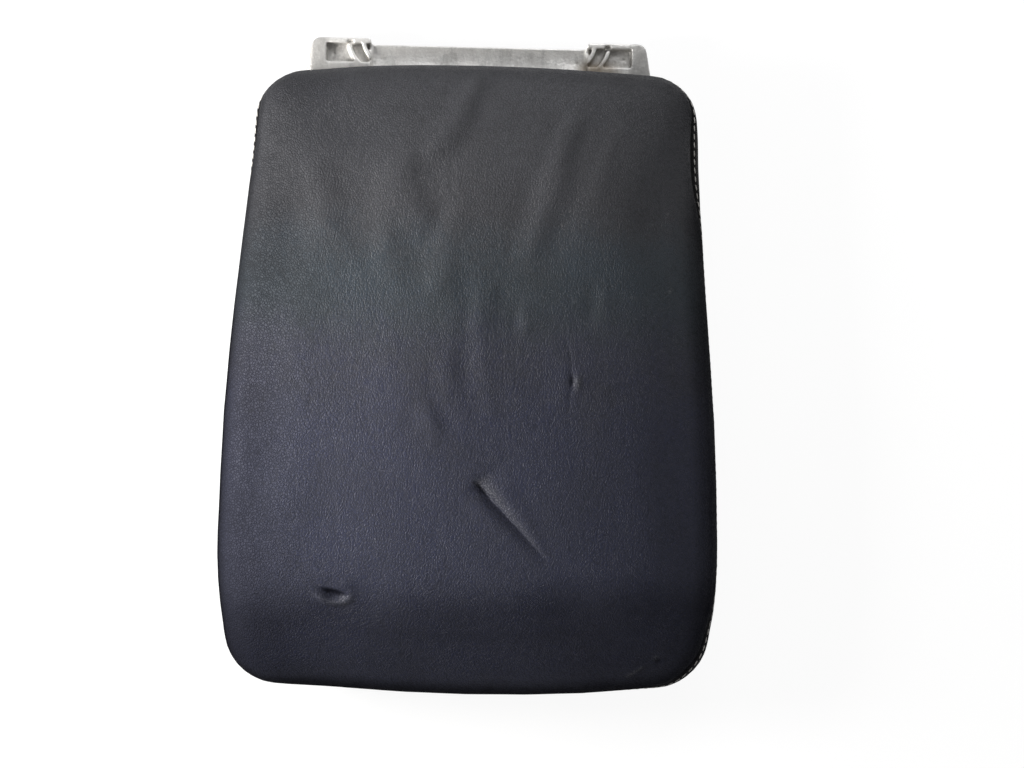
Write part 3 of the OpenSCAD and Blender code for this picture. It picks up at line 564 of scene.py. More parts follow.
def keep_sides(bm, form):
    """Lays the sides back on the CAD form, and leaves the crown as it is."""
    free = step(to_outline(coordinates(bm))[0], 5 * MM, 22 * MM)
    for vert, share in zip(bm.verts, free.tolist()):
        if share < 1:
            vert.co = vert.co.lerp(form.find_nearest(vert.co)[0], 1 - share)
    bm.normal_update()


def cover_shape():
    """The whole cover before it is cut at its seam, from the CAD solids' outside."""
    pad = bpy.context.scene.armrest_pad
    bm = merged_copy("leather_top", "leather_band")
    bmesh.ops.delete(bm, geom=list(bm.edges), context="EDGES_FACES")
    bmesh.ops.convex_hull(bm, input=bm.verts)
    bmesh.ops.delete(bm, geom=[v for v in bm.verts if not v.link_faces], context="VERTS")
    form = BVHTree.FromBMesh(bm)
    bm = with_modifier(bm, "REMESH", mode="VOXEL", voxel_size=pad.remesh, adaptivity=0)
    bmesh.ops.recalc_face_normals(bm, faces=bm.faces)
    smooth_top(bm, PASSES_BEFORE)
    inflate(bm)
    smooth_top(bm, PASSES_AFTER)
    bm = with_modifier(bm, "SUBSURF", levels=1, render_levels=1)
    keep_sides(bm, form)
    finer(bm)
    return bm


# Heights over the seam where the cover is cut into loops, and across it the places, half widths
# and heights of the groove's two edges and of the row that the stitches draw in
SEAM_STEPS = (-7.0, -4.2, -2.6, -1.7, -1.0, -0.45, 0.0, 0.45, 1.0, 1.9, 3.2, 5.0)
SEAM_PROFILE = ((2.6, 1.6, 0.22), (-2.8, 1.8, 0.22), (-1.7, 0.6, -0.30))
GROOVE_WIDTH = 0.75


def seam_loops(bm):
    """Cuts loops along the seam, and returns the points and their heights over the seam."""
    points = coordinates(bm)
    points[:, 2] -= seam_height(points)
    place(bm, points)
    for high in SEAM_STEPS:
        cut(bm, 2, high * MM, near=2e-5)
    points = coordinates(bm)
    level = points[:, 2] / MM
    points[:, 2] += seam_height(points)
    place(bm, points)
    return points, level


def painted_rim_shade(x, y, inside, inward):
    """How much painted shade darkens the rims: the left one most, and the rear one hardly."""
    east = np.clip(-inward[:, 0], 0, 1)
    rim = 1 - step(inside, 0.5 * MM, (10 + 5 * east * (1 - step(y, 20, 110))) * MM)
    west = OUTLINE[OUTLINE[:, 0] < 0]
    west = west[np.argsort(west[:, 1])] / MM
    within = np.maximum(0, x - np.interp(np.clip(y, -105, 105), west[:, 1], west[:, 0]))
    left = 0.56 * np.exp(-(within / 44) ** 3) * (1 - 0.35 * step(y, 60, 130))
    edge = np.exp(-inside / (3.5 * MM)) * np.clip(inward[:, 0], 0, 1)
    return np.maximum(rim * (1 - 0.8 * step(y, 122, 146)), left + (0.8 - 0.4 * step(y, 0, 100)) * edge)


def cut_seam(bm):
    """Cuts loops along the seam, sinks its groove and adds the wrinkles, the wear with painted highlights
    and the painted shade.
    """
    points, level = seam_loops(bm)
    x, y = points[:, 0] / MM, points[:, 1] / MM
    inside, inward, along = to_outline(points)
    run = along / MM
    normals = np.array([v.normal for v in bm.verts])
    marks = relief(x, y)
    top = step(level, 3, 9) * step(inside, 3 * MM, 12 * MM)
    shift = marks.high * top * np.clip(normals[:, 2], 0, 1)
    shift -= bpy.context.scene.armrest_pad.groove / MM * bell(level, GROOVE_WIDTH)
    for high, width, size in SEAM_PROFILE:
        shift += size * bell(level - high, width)
    # puckers below and above the seam
    shift += 0.10 * np.sin(run / 5.1) * np.sin(run / 13.7 + 1) * bell(level + 7, 5)
    shift += 0.09 * np.sin(run / 6.3 + 2) * np.sin(run / 17.1) * bell(level - 7, 5)
    place(bm, points + normals * (shift * MM)[:, None])
    over_foam(bm)
    marked = step(level, 3, 9) * step(inside, 1 * MM, 6 * MM)
    along_seam = 0.35 * bell(level - 2.4, 1.2) * (0.5 + 0.5 * np.sin(run / 9.7))
    # the wear layer holds rubbing and painted highlights, the side layer holds painted shade of the rims
    # and the marks
    add_layers(bm, wear=marks.worn * marked + along_seam, level=level,
               side=np.maximum(painted_rim_shade(x, y, inside, inward), marks.painted_shade * marked))
    return bm


# The cover's least gap to the foam and the carrier, the gap from which it is moved out, and the
# height over its lower edge from which this is done
LEAST_GAP, EASE_FROM, CLEAR_ABOVE = 0.4, 0.9, 2.5


def over_foam(bm):
    """Moves the cover out wherever it comes too near to the foam or the carrier."""
    inner = merged_copy("foam_pad", "pad_carrier")
    form = BVHTree.FromBMesh(inner)
    inner.free()
    ease = EASE_FROM - LEAST_GAP
    for vert in bm.verts:
        if vert.co.z > PAD_Z + CLEAR_ABOVE * MM:
            spot, out, _, far = form.find_nearest(vert.co)
            gap = math.copysign(far, (vert.co - spot).dot(out)) / MM
            if gap < EASE_FROM:
                wanted = LEAST_GAP + ease * math.exp((gap - EASE_FROM) / ease)
                vert.co += out * (wanted - gap) * MM
    bm.normal_update()


def lean(bm):
    """Sets the cover slightly askew, as a used one sits, above its lower edge."""
    points = coordinates(bm)
    x, y = points[:, 0] / MM, points[:, 1] / MM
    right = 0.45 - 1.25 * bell(y - 28, 85) + 0.4 * step(-y, 90, 140) + 0.0028 * x
    right += 0.9 * bell(y - 122, 18) * np.sign(x) * step(np.abs(x), 50, 95)
    ahead = (1.6 * step(-x, 55, 100) - 0.5 * step(x, 55, 100)) * step(-y, 110, 150)
    ahead += 1.6 * step(-x, 50, 95) * step(y, 118, 148)
    free = step(points[:, 2] - PAD_Z, 0, 8 * MM)
    points[:, 0] += right * free * MM
    points[:, 1] -= ahead * free * MM
    place(bm, points)


def part_of(bm, upper):
    """One side of the seam, as a mesh of its own."""
    part = bm.copy()
    mark = part.verts.layers.float["level"]
    other = [f for f in part.faces if (sum(v[mark] for v in f.verts) > 0) != upper]
    bmesh.ops.delete(part, geom=other, context="FACES")
    return part


# The band's lower edge: how far each row lies inside the outline and above the underside
TUCK_ROWS = ((0.95, 1.9), (1.35, 1.1), (2.05, 0.45), (3.2, 0.1), (4.6, 0.0))
TUCK_FROM = 3
# The fold's inner edge is wavy by this much, over this length
FOLD_WAVE, FOLD_WAVE_LENGTH = 0.5, 8.0


def tuck_under(bm):
    """Rolls the band's lower edge in and folds it under the pad."""
    cut(bm, 2, PAD_Z + TUCK_FROM * MM, clear_inner=True)
    edges = [e for e in bm.edges if e.is_boundary
             and all(v.co.z < PAD_Z + (TUCK_FROM + 1) * MM for v in e.verts)]
    rows = [(inset, high, 0) for inset, high in TUCK_ROWS]
    fold = bpy.context.scene.armrest_pad.fold / MM
    for inset, high, wave in (*rows, (fold, 0.0, FOLD_WAVE * MM)):
        made = bmesh.ops.extrude_edge_only(bm, edges=edges)["geom"]
        verts = [g for g in made if isinstance(g, bmesh.types.BMVert)]
        edges = [e for e in edges_of(made) if all(v in verts for v in e.verts)]
        far, inward, along = to_outline(np.array([v.co for v in verts]))
        for vert, d, n, s in zip(verts, far, inward, along):
            go = inset * MM - d + wave * math.sin(s / MM / FOLD_WAVE_LENGTH)
            vert.co.x += n[0] * go
            vert.co.y += n[1] * go
            vert.co.z = PAD_Z + high * MM
    bmesh.ops.recalc_face_normals(bm, faces=bm.faces)


# Node trees


def is_socket(value):
    return isinstance(value, bpy.types.NodeSocket)


def add_node(tree, kind, inputs=(), **settings):
    """A shader node, with its inputs set or linked by name or number."""
    made = tree.nodes.new("ShaderNode" + kind)
    for key, value in settings.items():
        setattr(made, key, value)
    for key, value in dict(inputs).items():
        if is_socket(value):
            tree.links.new(value, made.inputs[key])
        else:
            made.inputs[key].default_value = value
    return made


def maths(tree, operation, *values):
    return add_node(tree, "Math", enumerate(values), operation=operation).outputs[0]


def times(tree, first, second):
    return maths(tree, "MULTIPLY", first, second)


def times_add(tree, first, second, third):
    """first x second + third"""
    return maths(tree, "MULTIPLY_ADD", first, second, third)


def less(tree, first, second):
    return maths(tree, "SUBTRACT", first, second)


def vector_maths(tree, operation, *values):
    """A vector, or a number from DOT_PRODUCT and LENGTH."""
    outputs = add_node(tree, "VectorMath", enumerate(values), operation=operation).outputs
    return outputs["Value" if operation in ("DOT_PRODUCT", "LENGTH") else "Vector"]


def mix(tree, factor, first, second):
    """The first colour, turned into the second by the factor."""
    first, second = (c if is_socket(c) else (*c, 1) for c in (first, second))
    return add_node(tree, "Mix", {0: factor, 6: first, 7: second}, data_type="RGBA").outputs[2]


def tint(tree, base, mask, share, colour):
    """The base colour, with at most this share of another where the mask is."""
    return mix(tree, times(tree, mask, share), base, colour)


def dim(colour, factor):
    return tuple(c * factor for c in colour)


def between(tree, value, low, high, to_low=0.0, to_high=1.0):
    return add_node(tree, "MapRange", enumerate((value, low, high, to_low, to_high)),
                    interpolation_type="SMOOTHSTEP").outputs[0]


def noise(tree, where, scale, detail):
    return add_node(tree, "TexNoise", {"Vector": where, "Scale": scale, "Detail": detail}).outputs


def attribute(tree, name):
    return add_node(tree, "Attribute", attribute_name=name).outputs["Fac"]


def xyz(tree, vector):
    return add_node(tree, "SeparateXYZ", {0: vector}).outputs


def object_coordinates(tree, stretch=(1, 1, 1)):
    """Object coordinates in millimetres, stretched along the axes."""
    where = add_node(tree, "TexCoord").outputs["Object"]
    return add_node(tree, "Mapping", {0: where, 3: [s / MM for s in stretch]}).outputs[0]


def new_group(name, inputs, outputs):
    """An empty shader node group with its sockets, given as (name, kind, default)."""
    tree = bpy.data.node_groups.new(name, "ShaderNodeTree")
    for label, kind, default in inputs:
        socket = tree.interface.new_socket(
            name=label, in_out="INPUT", socket_type="NodeSocket" + kind)
        if default is not None:
            socket.default_value = default
    for label, kind in outputs:
        tree.interface.new_socket(name=label, in_out="OUTPUT", socket_type="NodeSocket" + kind)
    return tree, tree.nodes.new("NodeGroupInput").outputs, tree.nodes.new("NodeGroupOutput").inputs


def pebble_group():
    """Pebbled grain of leather and of moulded plastic."""
    tree, given, result = new_group(
        "Pebble grain",
        [("Vector", "Vector", None), ("Cell", "Float", 1.0), ("Crease", "Float", 0.5)],
        [("Height", "Float"), ("Valley", "Float")])
    drift = noise(tree, given["Vector"], 0.35, 2.0)["Color"]
    bent = vector_maths(tree, "SUBTRACT", drift, (0.5, 0.5, 0.5))
    bent = vector_maths(tree, "MULTIPLY_ADD", bent, (1.6, 1.6, 1.6), given["Vector"])
    scale = maths(tree, "DIVIDE", 1.0, given["Cell"])
    cells = add_node(tree, "TexVoronoi", {"Vector": bent, "Scale": scale, "Randomness": 1.0},
                     feature="DISTANCE_TO_EDGE")
    small = times(tree, scale, 2.3)
    pores = add_node(tree, "TexVoronoi", {"Vector": bent, "Scale": small}, feature="F1")
    valley = between(tree, cells.outputs["Distance"], 0.0, given["Crease"], 1.0, 0.0)
    high = times_add(tree, valley, -0.75, 0.75)
    high = times_add(tree, pores.outputs["Distance"], -0.25, high)
    high = times_add(tree, noise(tree, bent, small, 3.0)["Fac"], 0.3, high)
    tree.links.new(high, result["Height"])
    tree.links.new(valley, result["Valley"])
    return tree


def mottle_group():
    """Soft blotches at two sizes."""
    tree, given, result = new_group(
        "Mottle",
        [("Vector", "Vector", None), ("Size", "Float", 20.0), ("Fine", "Float", 0.3)],
        [("Mask", "Float")])
    scale = maths(tree, "DIVIDE", 1.0, given["Size"])
    large = noise(tree, given["Vector"], scale, 4.0)["Fac"]
    fine = noise(tree, given["Vector"], times(tree, scale, 9.0), 3.0)["Fac"]
    part = add_node(tree, "Mix", {0: given["Fine"], 2: large, 3: fine}, data_type="FLOAT").outputs[0]
    tree.links.new(between(tree, part, 0.3, 0.7), result["Mask"])
    return tree


def edge_group():
    """Rounded edges: a softened normal and a mask of the edges that rub bright."""
    tree, given, result = new_group(
        "Soft edge", [("Radius", "Float", 0.0005)], [("Normal", "Vector"), ("Edge", "Float")])
    soft = add_node(tree, "Bevel", {"Radius": given["Radius"]}, samples=4).outputs[0]
    true = add_node(tree, "NewGeometry").outputs["Normal"]
    same = vector_maths(tree, "DOT_PRODUCT", soft, true)
    tree.links.new(soft, result["Normal"])
    tree.links.new(between(tree, same, 0.8, 0.99, 1.0, 0.0), result["Edge"])
    return tree


def use_group(tree, name, inputs=()):
    """The outputs of a shared node group, which is made at its first use."""
    makers = {"Pebble grain": pebble_group, "Mottle": mottle_group, "Soft edge": edge_group}
    group = bpy.data.node_groups.get(name) or makers[name]()
    return add_node(tree, "Group", inputs, node_tree=group).outputs


def pebbles(tree, where, cell, crease):
    return use_group(tree, "Pebble grain", {"Vector": where, "Cell": cell, "Crease": crease})


def mottle(tree, where, size, fine):
    return use_group(tree, "Mottle", {"Vector": where, "Size": size, "Fine": fine})["Mask"]


def bump(tree, height, depth_mm, normal=None):
    inputs = {"Height": height, "Strength": 1.0, "Distance": depth_mm * MM}
    if normal is not None:
        inputs["Normal"] = normal
    return add_node(tree, "Bump", inputs).outputs[0]


# Materials


def blank_material(name, **values):
    """A material with its Principled shader, and uniform values on the shader's own sockets."""
    material = bpy.data.materials.new(name)
    material.use_nodes = True
    shader = material.node_tree.nodes["Principled BSDF"].inputs
    for key, value in values.items():
        shader[key.replace("_", " ")].default_value = value
    return material, material.node_tree, shader


def dress(tree, shader, **values):
    """Links values to the shader's sockets, whose names have _ for a space here."""
    for key, value in values.items():
        tree.links.new(value, shader[key.replace("_", " ")])


BLACK = (0.0, 0.0, 0.0)
# Painted shade in the middle of the leather, which is also duller there: centre, stretch and the fall's
# two radii in mm, and by how much
MIDDLE_SHADE_CENTRE, MIDDLE_SHADE_STRETCH, MIDDLE_SHADE_RADII, MIDDLE_SHADE_SHARE = (8.0, 10.0, 50.0), (1.0, 0.62, 0.0), (58.0, 10.0), 0.17


def leather_ground(tree, band, blotch, wander, y):
    """The leather's colour, warmer towards the hinge and bluer towards the front, where it is also darker
    as painted shade.
    """
    pad = bpy.context.scene.armrest_pad
    # painted shade: the colour turns darker towards the front
    front = between(tree, wander, 95.0, -25.0)
    if band:
        return mix(tree, front, pad.band_colour, dim(pad.band_colour, 0.8))
    base = mix(tree, front, pad.rear_colour, pad.front_colour)
    line = times_add(tree, blotch, 16.0, y)
    teal = times(tree, between(tree, line, 90.0, 48.0), between(tree, line, 6.0, 46.0))
    return tint(tree, base, teal, 0.55, (0.013, 0.031, 0.043))


def leather_material(name, band):
    """Dark grained leather, rubbed in places, with painted highlights on some marks, and painted shade
    that darkens and dulls it at its rims, towards its right, on its front strip and in its middle.
    """
    pad = bpy.context.scene.armrest_pad
    material, tree, shader = blank_material(
        name, Roughness=0.5, Specular_IOR_Level=0.14 if band else 0.5)
    where = object_coordinates(tree)
    side, wear = attribute(tree, "side"), attribute(tree, "wear")
    grain = pebbles(tree, where, pad.grain / MM, 0.22)
    blotch = mottle(tree, where, 34.0, 0.35)
    x, y, _ = xyz(tree, where)
    wander = times_add(tree, blotch, 36.0, y)
    base = leather_ground(tree, band, blotch, wander, y)
    base = tint(tree, base, blotch, 0.30, (0.012, 0.012, 0.014))
    base = tint(tree, base, grain["Valley"], 0.45, (0.006, 0.006, 0.007))
    # the wear layer's rubbing and painted highlights lighten the leather
    rubbed = times(tree, wear, less(tree, 1.0, grain["Valley"]))
    base = tint(tree, base, rubbed, 0.75, pad.wear_and_highlight_colour)
    # painted shade at the rims and in the marks
    base = tint(tree, base, side, 0.85, (0.003, 0.003, 0.004))
    # painted shade: darker towards the right
    right = between(tree, x, 25.0, 80.0, 1.0, 0.76)
    base = mix(tree, less(tree, 1.0, right), base, BLACK)
    # painted shade: the front strip is darker and duller than the rest
    front_shade = times_add(tree, blotch, 7.0, times_add(tree, x, -0.04, y))
    front_shade = between(tree, front_shade, -97.0, -121.0)
    base = tint(tree, base, front_shade, 0.5, (0.004, 0.004, 0.006))
    # painted shade also darkens and dulls the middle
    aside = vector_maths(tree, "MULTIPLY", vector_maths(tree, "SUBTRACT", where, MIDDLE_SHADE_CENTRE), MIDDLE_SHADE_STRETCH)
    middle_shade = between(tree, vector_maths(tree, "LENGTH", aside), *MIDDLE_SHADE_RADII, 0.0, MIDDLE_SHADE_SHARE)
    base = mix(tree, middle_shade, base, BLACK)
    if not band:
        shine = between(tree, wander, 120.0, -80.0, 0.56, 0.40)
        shine = times(tree, shine, times_add(tree, front_shade, -0.45, 1.0))
        shine = times(tree, shine, times_add(tree, side, -0.88, 1.0))
        dress(tree, shader, Specular_IOR_Level=times(tree, shine, less(tree, right, middle_shade)))
    rough = between(tree, blotch, 0.0, 1.0, 0.47, 0.58)
    rough = times_add(tree, grain["Valley"], 0.16, rough)
    rough = times_add(tree, side, 0.2, rough)
    soft = bump(tree, noise(tree, where, 0.16, 3.0)["Fac"], 0.35)
    dress(tree, shader, Base_Color=base, Roughness=times_add(tree, wear, -0.08, rough),
          Normal=bump(tree, grain["Height"], 0.205, soft))
    return material


def thread_material():
    """Twisted polyester thread."""
    material, tree, shader = blank_material("stitch_thread", Roughness=0.62, Sheen_Weight=0.15)
    thread = bpy.context.scene.armrest_thread.thread
    where = object_coordinates(tree)
    twist = add_node(tree, "TexWave", {"Vector": where, "Scale": 0.9, "Distortion": 1.5},
                     bands_direction="DIAGONAL")
    base = tint(tree, thread, mottle(tree, where, 26.0, 0.3), 0.55, dim(thread, 0.42))
    dress(tree, shader, Base_Color=base, Normal=bump(tree, twist.outputs["Fac"], 0.12))
    return material


# Where the casting has painted shade on its ears and is stained beside the pad: X and Y in mm
EAR_SHADE_FROM, EAR_SHADE_TO = 74.0, 80.0
STAIN_X, STAIN_Y = 60.0, (158.0, 152.0)


def aluminium_material():
    """Bare die-cast aluminium: cloudy, streaked, darker in its corners, bright on its edges as wear and
    painted highlight, and with painted shade on its ears.
    """
    cast = bpy.context.scene.armrest_casting
    material, tree, shader = blank_material("cast_aluminium", Metallic=0.6)
    where = object_coordinates(tree)
    cloud = mottle(tree, where, 12.0, 0.22)
    flow = mottle(tree, object_coordinates(tree, (1.0, 0.16, 1.0)), 3.0, 0.3)
    edge, hollow = attribute(tree, "edge"), attribute(tree, "hollow")
    base = tint(tree, cast.metal, between(tree, cloud, 0.25, 0.75), 0.85, dim(cast.metal, 0.58))
    base = tint(tree, base, flow, 0.45, [min(c, 1) for c in dim(cast.metal, 1.35)])
    # darker in the concave corners
    base = tint(tree, base, hollow, 0.3, cast.corner_colour)
    # wear and painted highlight brighten the edges
    base = tint(tree, base, edge, 0.75, (0.86, 0.85, 0.83))
    x, y, _ = xyz(tree, where)
    # painted shade on the ears, deeper on the right one
    ear_shade = between(tree, maths(tree, "ABSOLUTE", x), EAR_SHADE_FROM, EAR_SHADE_TO)
    ear_shade = times(tree, ear_shade, between(tree, x, -75.0, 75.0, 0.42, 0.55))
    base = mix(tree, ear_shade, base, dim(cast.metal, 0.3))
    aside = maths(tree, "ABSOLUTE", less(tree, x, STAIN_X))
    stain = times(tree, between(tree, y, *STAIN_Y), between(tree, aside, 16.0, 2.0))
    base = mix(tree, times(tree, stain, times_add(tree, cloud, 0.5, 0.3)), base, cast.stain)
    rough = between(tree, cloud, 0.0, 1.0, 0.42, 0.6)
    dress(tree, shader, Base_Color=base, Roughness=times_add(tree, edge, -0.10, rough),
          Normal=bump(tree, noise(tree, where, 0.8, 6.0)["Fac"], 0.22))
    return material


# Finishes of the parts whose CAD mesh is kept:
# colour, worn colour, metallic, roughness, grain cell in mm, grain depth in mm, edge radius in mm
FINISHES = {
    "foam": ((0.62, 0.52, 0.27), (0.70, 0.62, 0.38), 0.0, 0.95, 0.8, 0.35, 0.6),
    "carrier_plastic": ((0.020, 0.020, 0.021), (0.07, 0.07, 0.07), 0.0, 0.5, 1.4, 0.02, 0.3),
    "base_steel": ((0.022, 0.022, 0.024), (0.17, 0.17, 0.17), 0.0, 0.42, 2.4, 0.03, 0.4),
    "bush_plastic": ((0.70, 0.67, 0.56), (0.78, 0.76, 0.68), 0.0, 0.38, 1.2, 0.01, 0.2),
    "bright_steel": ((0.56, 0.56, 0.57), (0.78, 0.78, 0.78), 1.0, 0.26, 1.0, 0.01, 0.2),
    "zinc_screws": ((0.52, 0.54, 0.57), (0.74, 0.74, 0.74), 1.0, 0.36, 0.9, 0.015, 0.2),
    "cover_plastic": ((0.024, 0.024, 0.026), (0.075, 0.075, 0.08), 0.0, 0.55, 0.9, 0.10, 0.5),
    "black_screws": ((0.018, 0.018, 0.019), (0.15, 0.15, 0.15), 0.4, 0.4, 0.8, 0.015, 0.15),
    "buffer_rubber": ((0.017, 0.017, 0.017), (0.05, 0.05, 0.05), 0.0, 0.78, 1.1, 0.04, 0.4),
    "latch_plastic": ((0.027, 0.027, 0.029), (0.08, 0.08, 0.085), 0.0, 0.48, 1.2, 0.03, 0.3),
    "spring_steel": ((0.42, 0.40, 0.37), (0.62, 0.60, 0.56), 1.0, 0.30, 0.6, 0.01, 0.1),
    "lever_plastic": ((0.023, 0.023, 0.025), (0.085, 0.085, 0.09), 0.0, 0.44, 1.0, 0.05, 0.4),
}


def hard_material(slot):
    """Finish of one of the moulded, pressed or turned parts."""
    base, worn, metallic, roughness, cell, depth, radius = FINISHES[slot]
    material, tree, shader = blank_material(slot + "_finish", Metallic=metallic, Roughness=roughness)
    where = object_coordinates(tree)
    grain = pebbles(tree, where, cell, 0.3)
    blotch = mottle(tree, where, 14.0, 0.4)
    edge = use_group(tree, "Soft edge", {"Radius": radius * MM})
    shade = tint(tree, base, blotch, 0.45, dim(base, 0.72))
    rub = times(tree, edge["Edge"], times_add(tree, blotch, 0.5, 0.25))
    shade = mix(tree, rub, shade, worn)
    shade = tint(tree, shade, grain["Valley"], 0.2, dim(base, 0.5))
    rough = times_add(tree, blotch, 0.12, roughness - 0.05)
    dress(tree, shader, Base_Color=shade, Roughness=times_add(tree, rub, -0.1, rough),
          Normal=bump(tree, grain["Height"], depth, edge["Normal"]))
    return material


# The latch's screws look black, where their slot in the record is that of the zinc ones
OTHER_SLOTS = {"latch_screws": "black_screws"}


def finish_nodes(*nodes):
    """Gives CAD nodes the material of their slot."""
    slots = {row["node"]: row["material_slot"] for row in frame["record"]["subparts"]}
    slots.update(OTHER_SLOTS)
    for name in nodes:
        slot = slots[name]
        material = bpy.data.materials.get(slot + "_finish") or hard_material(slot)
        mesh = frame["nodes"][name].data
        mesh.materials.clear()
        mesh.materials.append(material)


# Operators


class ARMREST_OT_leather_cover(bpy.types.Operator):
    """Make the leather top panel and the side band, inflated over the foam and cut at their seam"""

    bl_idname = "armrest.leather_cover"
    bl_label = "Leather cover"

    def execute(self, context):
        pad = context.scene.armrest_pad
        bm = cut_seam(cover_shape())
        top, band = part_of(bm, True), part_of(bm, False)
        bm.free()
        tuck_under(band)
        for part in (top, band):
            lean(part)
            over_foam(part)
        for name, part, node, dark in (("leather_top_panel", top, "leather_top", False),
                                       ("leather_side_band", band, "leather_band", True)):
            piece = add_piece(name, part, "lid", leather_material(node + "_leather", dark))
            wall = piece.modifiers.new("Thickness", "SOLIDIFY")
            wall.thickness, wall.offset = pad.leather, -1
            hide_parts(node)
        return {"FINISHED"}


# How near the band's vertices lie to the height of the stitches' row, in mm, the least distance
# between two of them, and how far to both sides of a stitch its direction is taken
ROW_REACH, ROW_STEP, HALF_WAY = 0.02, 1e-5, 0.9 * MM


def seam_points():
    """Evenly spaced places on the band under the seam: point, direction and outward normal."""
    thread = bpy.context.scene.armrest_thread
    mesh = bpy.data.objects["leather_side_band"].data
    levels = np.array([d.value for d in mesh.attributes["level"].data])
    row = np.abs(levels + thread.below / MM) < ROW_REACH
    at = np.array([v.co for v in mesh.vertices])[row]
    out = np.array([v.normal for v in mesh.vertices])[row]
    order = np.argsort(to_outline(at)[2])
    at, out = at[order], out[order]
    # drop doubles, then measure the loop itself
    keep = np.concatenate([[True], np.linalg.norm(np.diff(at, axis=0), axis=1) > ROW_STEP])
    ring, normal = (np.vstack([v[keep], v[:1]]) for v in (at, out))
    run = np.concatenate([[0], np.cumsum(np.linalg.norm(np.diff(ring, axis=0), axis=1))])
    total = run[-1]
    number = int(round(total / thread.pitch))
    spots = (np.arange(number) + 0.5) * total / number

    def sample(values, where):
        return np.stack([np.interp(where % total, run, values[:, k]) for k in range(3)], 1)

    way = sample(ring, spots + HALF_WAY) - sample(ring, spots - HALF_WAY)
    return sample(ring, spots), way / np.linalg.norm(way, axis=1)[:, None], sample(normal, spots)


# The thread stands this share of its thickness out of the leather, and is slightly flat
THREAD_OUT, THREAD_FLAT = 0.12, 0.46


def stitch_matrix(thread, point, way, out):
    """Turns a unit sphere whose poles are on Z into one stitch."""
    z = Vector(out).normalized()
    y = z.cross(Vector(way)).normalized()
    x = y.cross(z).normalized()
    turn = Matrix((x, y, z)).transposed().to_4x4() @ Matrix.Rotation(thread.slant, 4, "Z")
    spot = Vector(point) + z * thread.thick * THREAD_OUT
    size = Matrix.Diagonal((thread.stitch / 2, thread.thick / 2, thread.thick * THREAD_FLAT, 1))
    return Matrix.Translation(spot) @ turn @ size @ Matrix.Rotation(math.pi / 2, 4, "Y")


class ARMREST_OT_seam_thread(bpy.types.Operator):
    """Sew the row of stitches along the band under the seam"""

    bl_idname = "armrest.seam_thread"
    bl_label = "Seam thread"

    def execute(self, context):
        bm = bmesh.new()
        for point, way, out in zip(*seam_points()):
            matrix = stitch_matrix(context.scene.armrest_thread, point, way, out)
            bmesh.ops.create_uvsphere(bm, u_segments=8, v_segments=6, radius=1.0, matrix=matrix)
        add_piece("seam_thread", bm, "lid", thread_material())
        return {"FINISHED"}


def curvature(bm):
    """How far each vertex stands out of its neighbours, over their distance."""
    out = []
    for vert in bm.verts:
        near = [e.other_vert(vert).co for e in vert.link_edges]
        middle = sum(near, Vector()) / len(near)
        spread = sum((n - vert.co).length for n in near) / len(near)
        out.append((vert.co - middle).dot(vert.normal) / max(spread, 1e-9))
    return np.array(out)


def blurred(bm, values, passes):
    """Values averaged with their neighbours."""
    ends = np.array([[v.index for v in e.verts] for e in bm.edges])
    for _ in range(passes):
        total = values.copy()
        count = np.ones(len(values))
        for a, b in ((0, 1), (1, 0)):
            np.add.at(total, ends[:, a], values[ends[:, b]])
            np.add.at(count, ends[:, a], 1)
        values = total / count
    return values


def keep_side(bm, y, rear):
    """Cuts the mesh at y, keeps one side and closes the cut."""
    edges = cut(bm, 1, y, clear_inner=rear, clear_outer=not rear)
    bmesh.ops.triangle_fill(bm, edges=edges, use_beauty=True)
    bmesh.ops.recalc_face_normals(bm, faces=bm.faces)


# The bends at which an edge is fully brightened, as wear and painted highlight, and a corner is fully
# darkened, and how far in front of the joint the fine mesh is made before it is cut there
EDGE_BEND, CORNER_BEND, OVERLAP = 0.12, 0.09, 1.5 * MM


def hinge_end(cast):
    """The rear of the casting with rounded edges, and with its edges and corners marked."""
    bm = merged_copy("cast_frame")
    keep_side(bm, cast.cut_y - OVERLAP, True)
    bm = with_modifier(bm, "REMESH", mode="VOXEL", voxel_size=cast.voxel, adaptivity=0)
    for _ in range(cast.smooth):
        bmesh.ops.smooth_vert(bm, verts=bm.verts, factor=0.5, use_axis_x=True,
                              use_axis_y=True, use_axis_z=True)
    bm.normal_update()
    bm.verts.index_update()
    bend = curvature(bm)
    add_layers(bm, edge=np.clip(blurred(bm, bend, 1) / EDGE_BEND, 0, 1),
               hollow=np.clip(blurred(bm, -bend, 3) / CORNER_BEND, 0, 1))
    keep_side(bm, cast.cut_y, True)
    return bm


class ARMREST_OT_casting(bpy.types.Operator):
    """Round the die-cast hinge end's edges and corners, and finish the frame in bare aluminium"""

    bl_idname = "armrest.casting"
    bl_label = "Casting"

    def execute(self, context):
        cast = context.scene.armrest_casting
        metal = aluminium_material()
        rear = hinge_end(cast)
        deck = merged_copy("cast_frame")
        keep_side(deck, cast.cut_y, False)
        for name, bm, smooth in (("casting_hinge_end", rear, True), ("casting_deck", deck, False)):
            piece = add_piece(name, bm, "lid", metal, smooth)
            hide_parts("cast_frame")
        return {"FINISHED"}


class ARMREST_OT_pad_inside(bpy.types.Operator):
    """Finish the foam, the carrier and its screws"""

    bl_idname = "armrest.pad_inside"
    bl_label = "Inside of the pad"

    def execute(self, context):
        finish_nodes("foam_pad", "pad_carrier", "carrier_screws")
        return {"FINISHED"}


class ARMREST_OT_hinge(bpy.types.Operator):
    """Finish the hinge base, its bushes, washers and pins"""

    bl_idname = "armrest.hinge"
    bl_label = "Hinge"

    def execute(self, context):
        finish_nodes("hinge_base", "bush_left", "bush_right", "spring_washer_left",
                     "spring_washer_right", "hinge_pin_left", "hinge_pin_right")
        return {"FINISHED"}


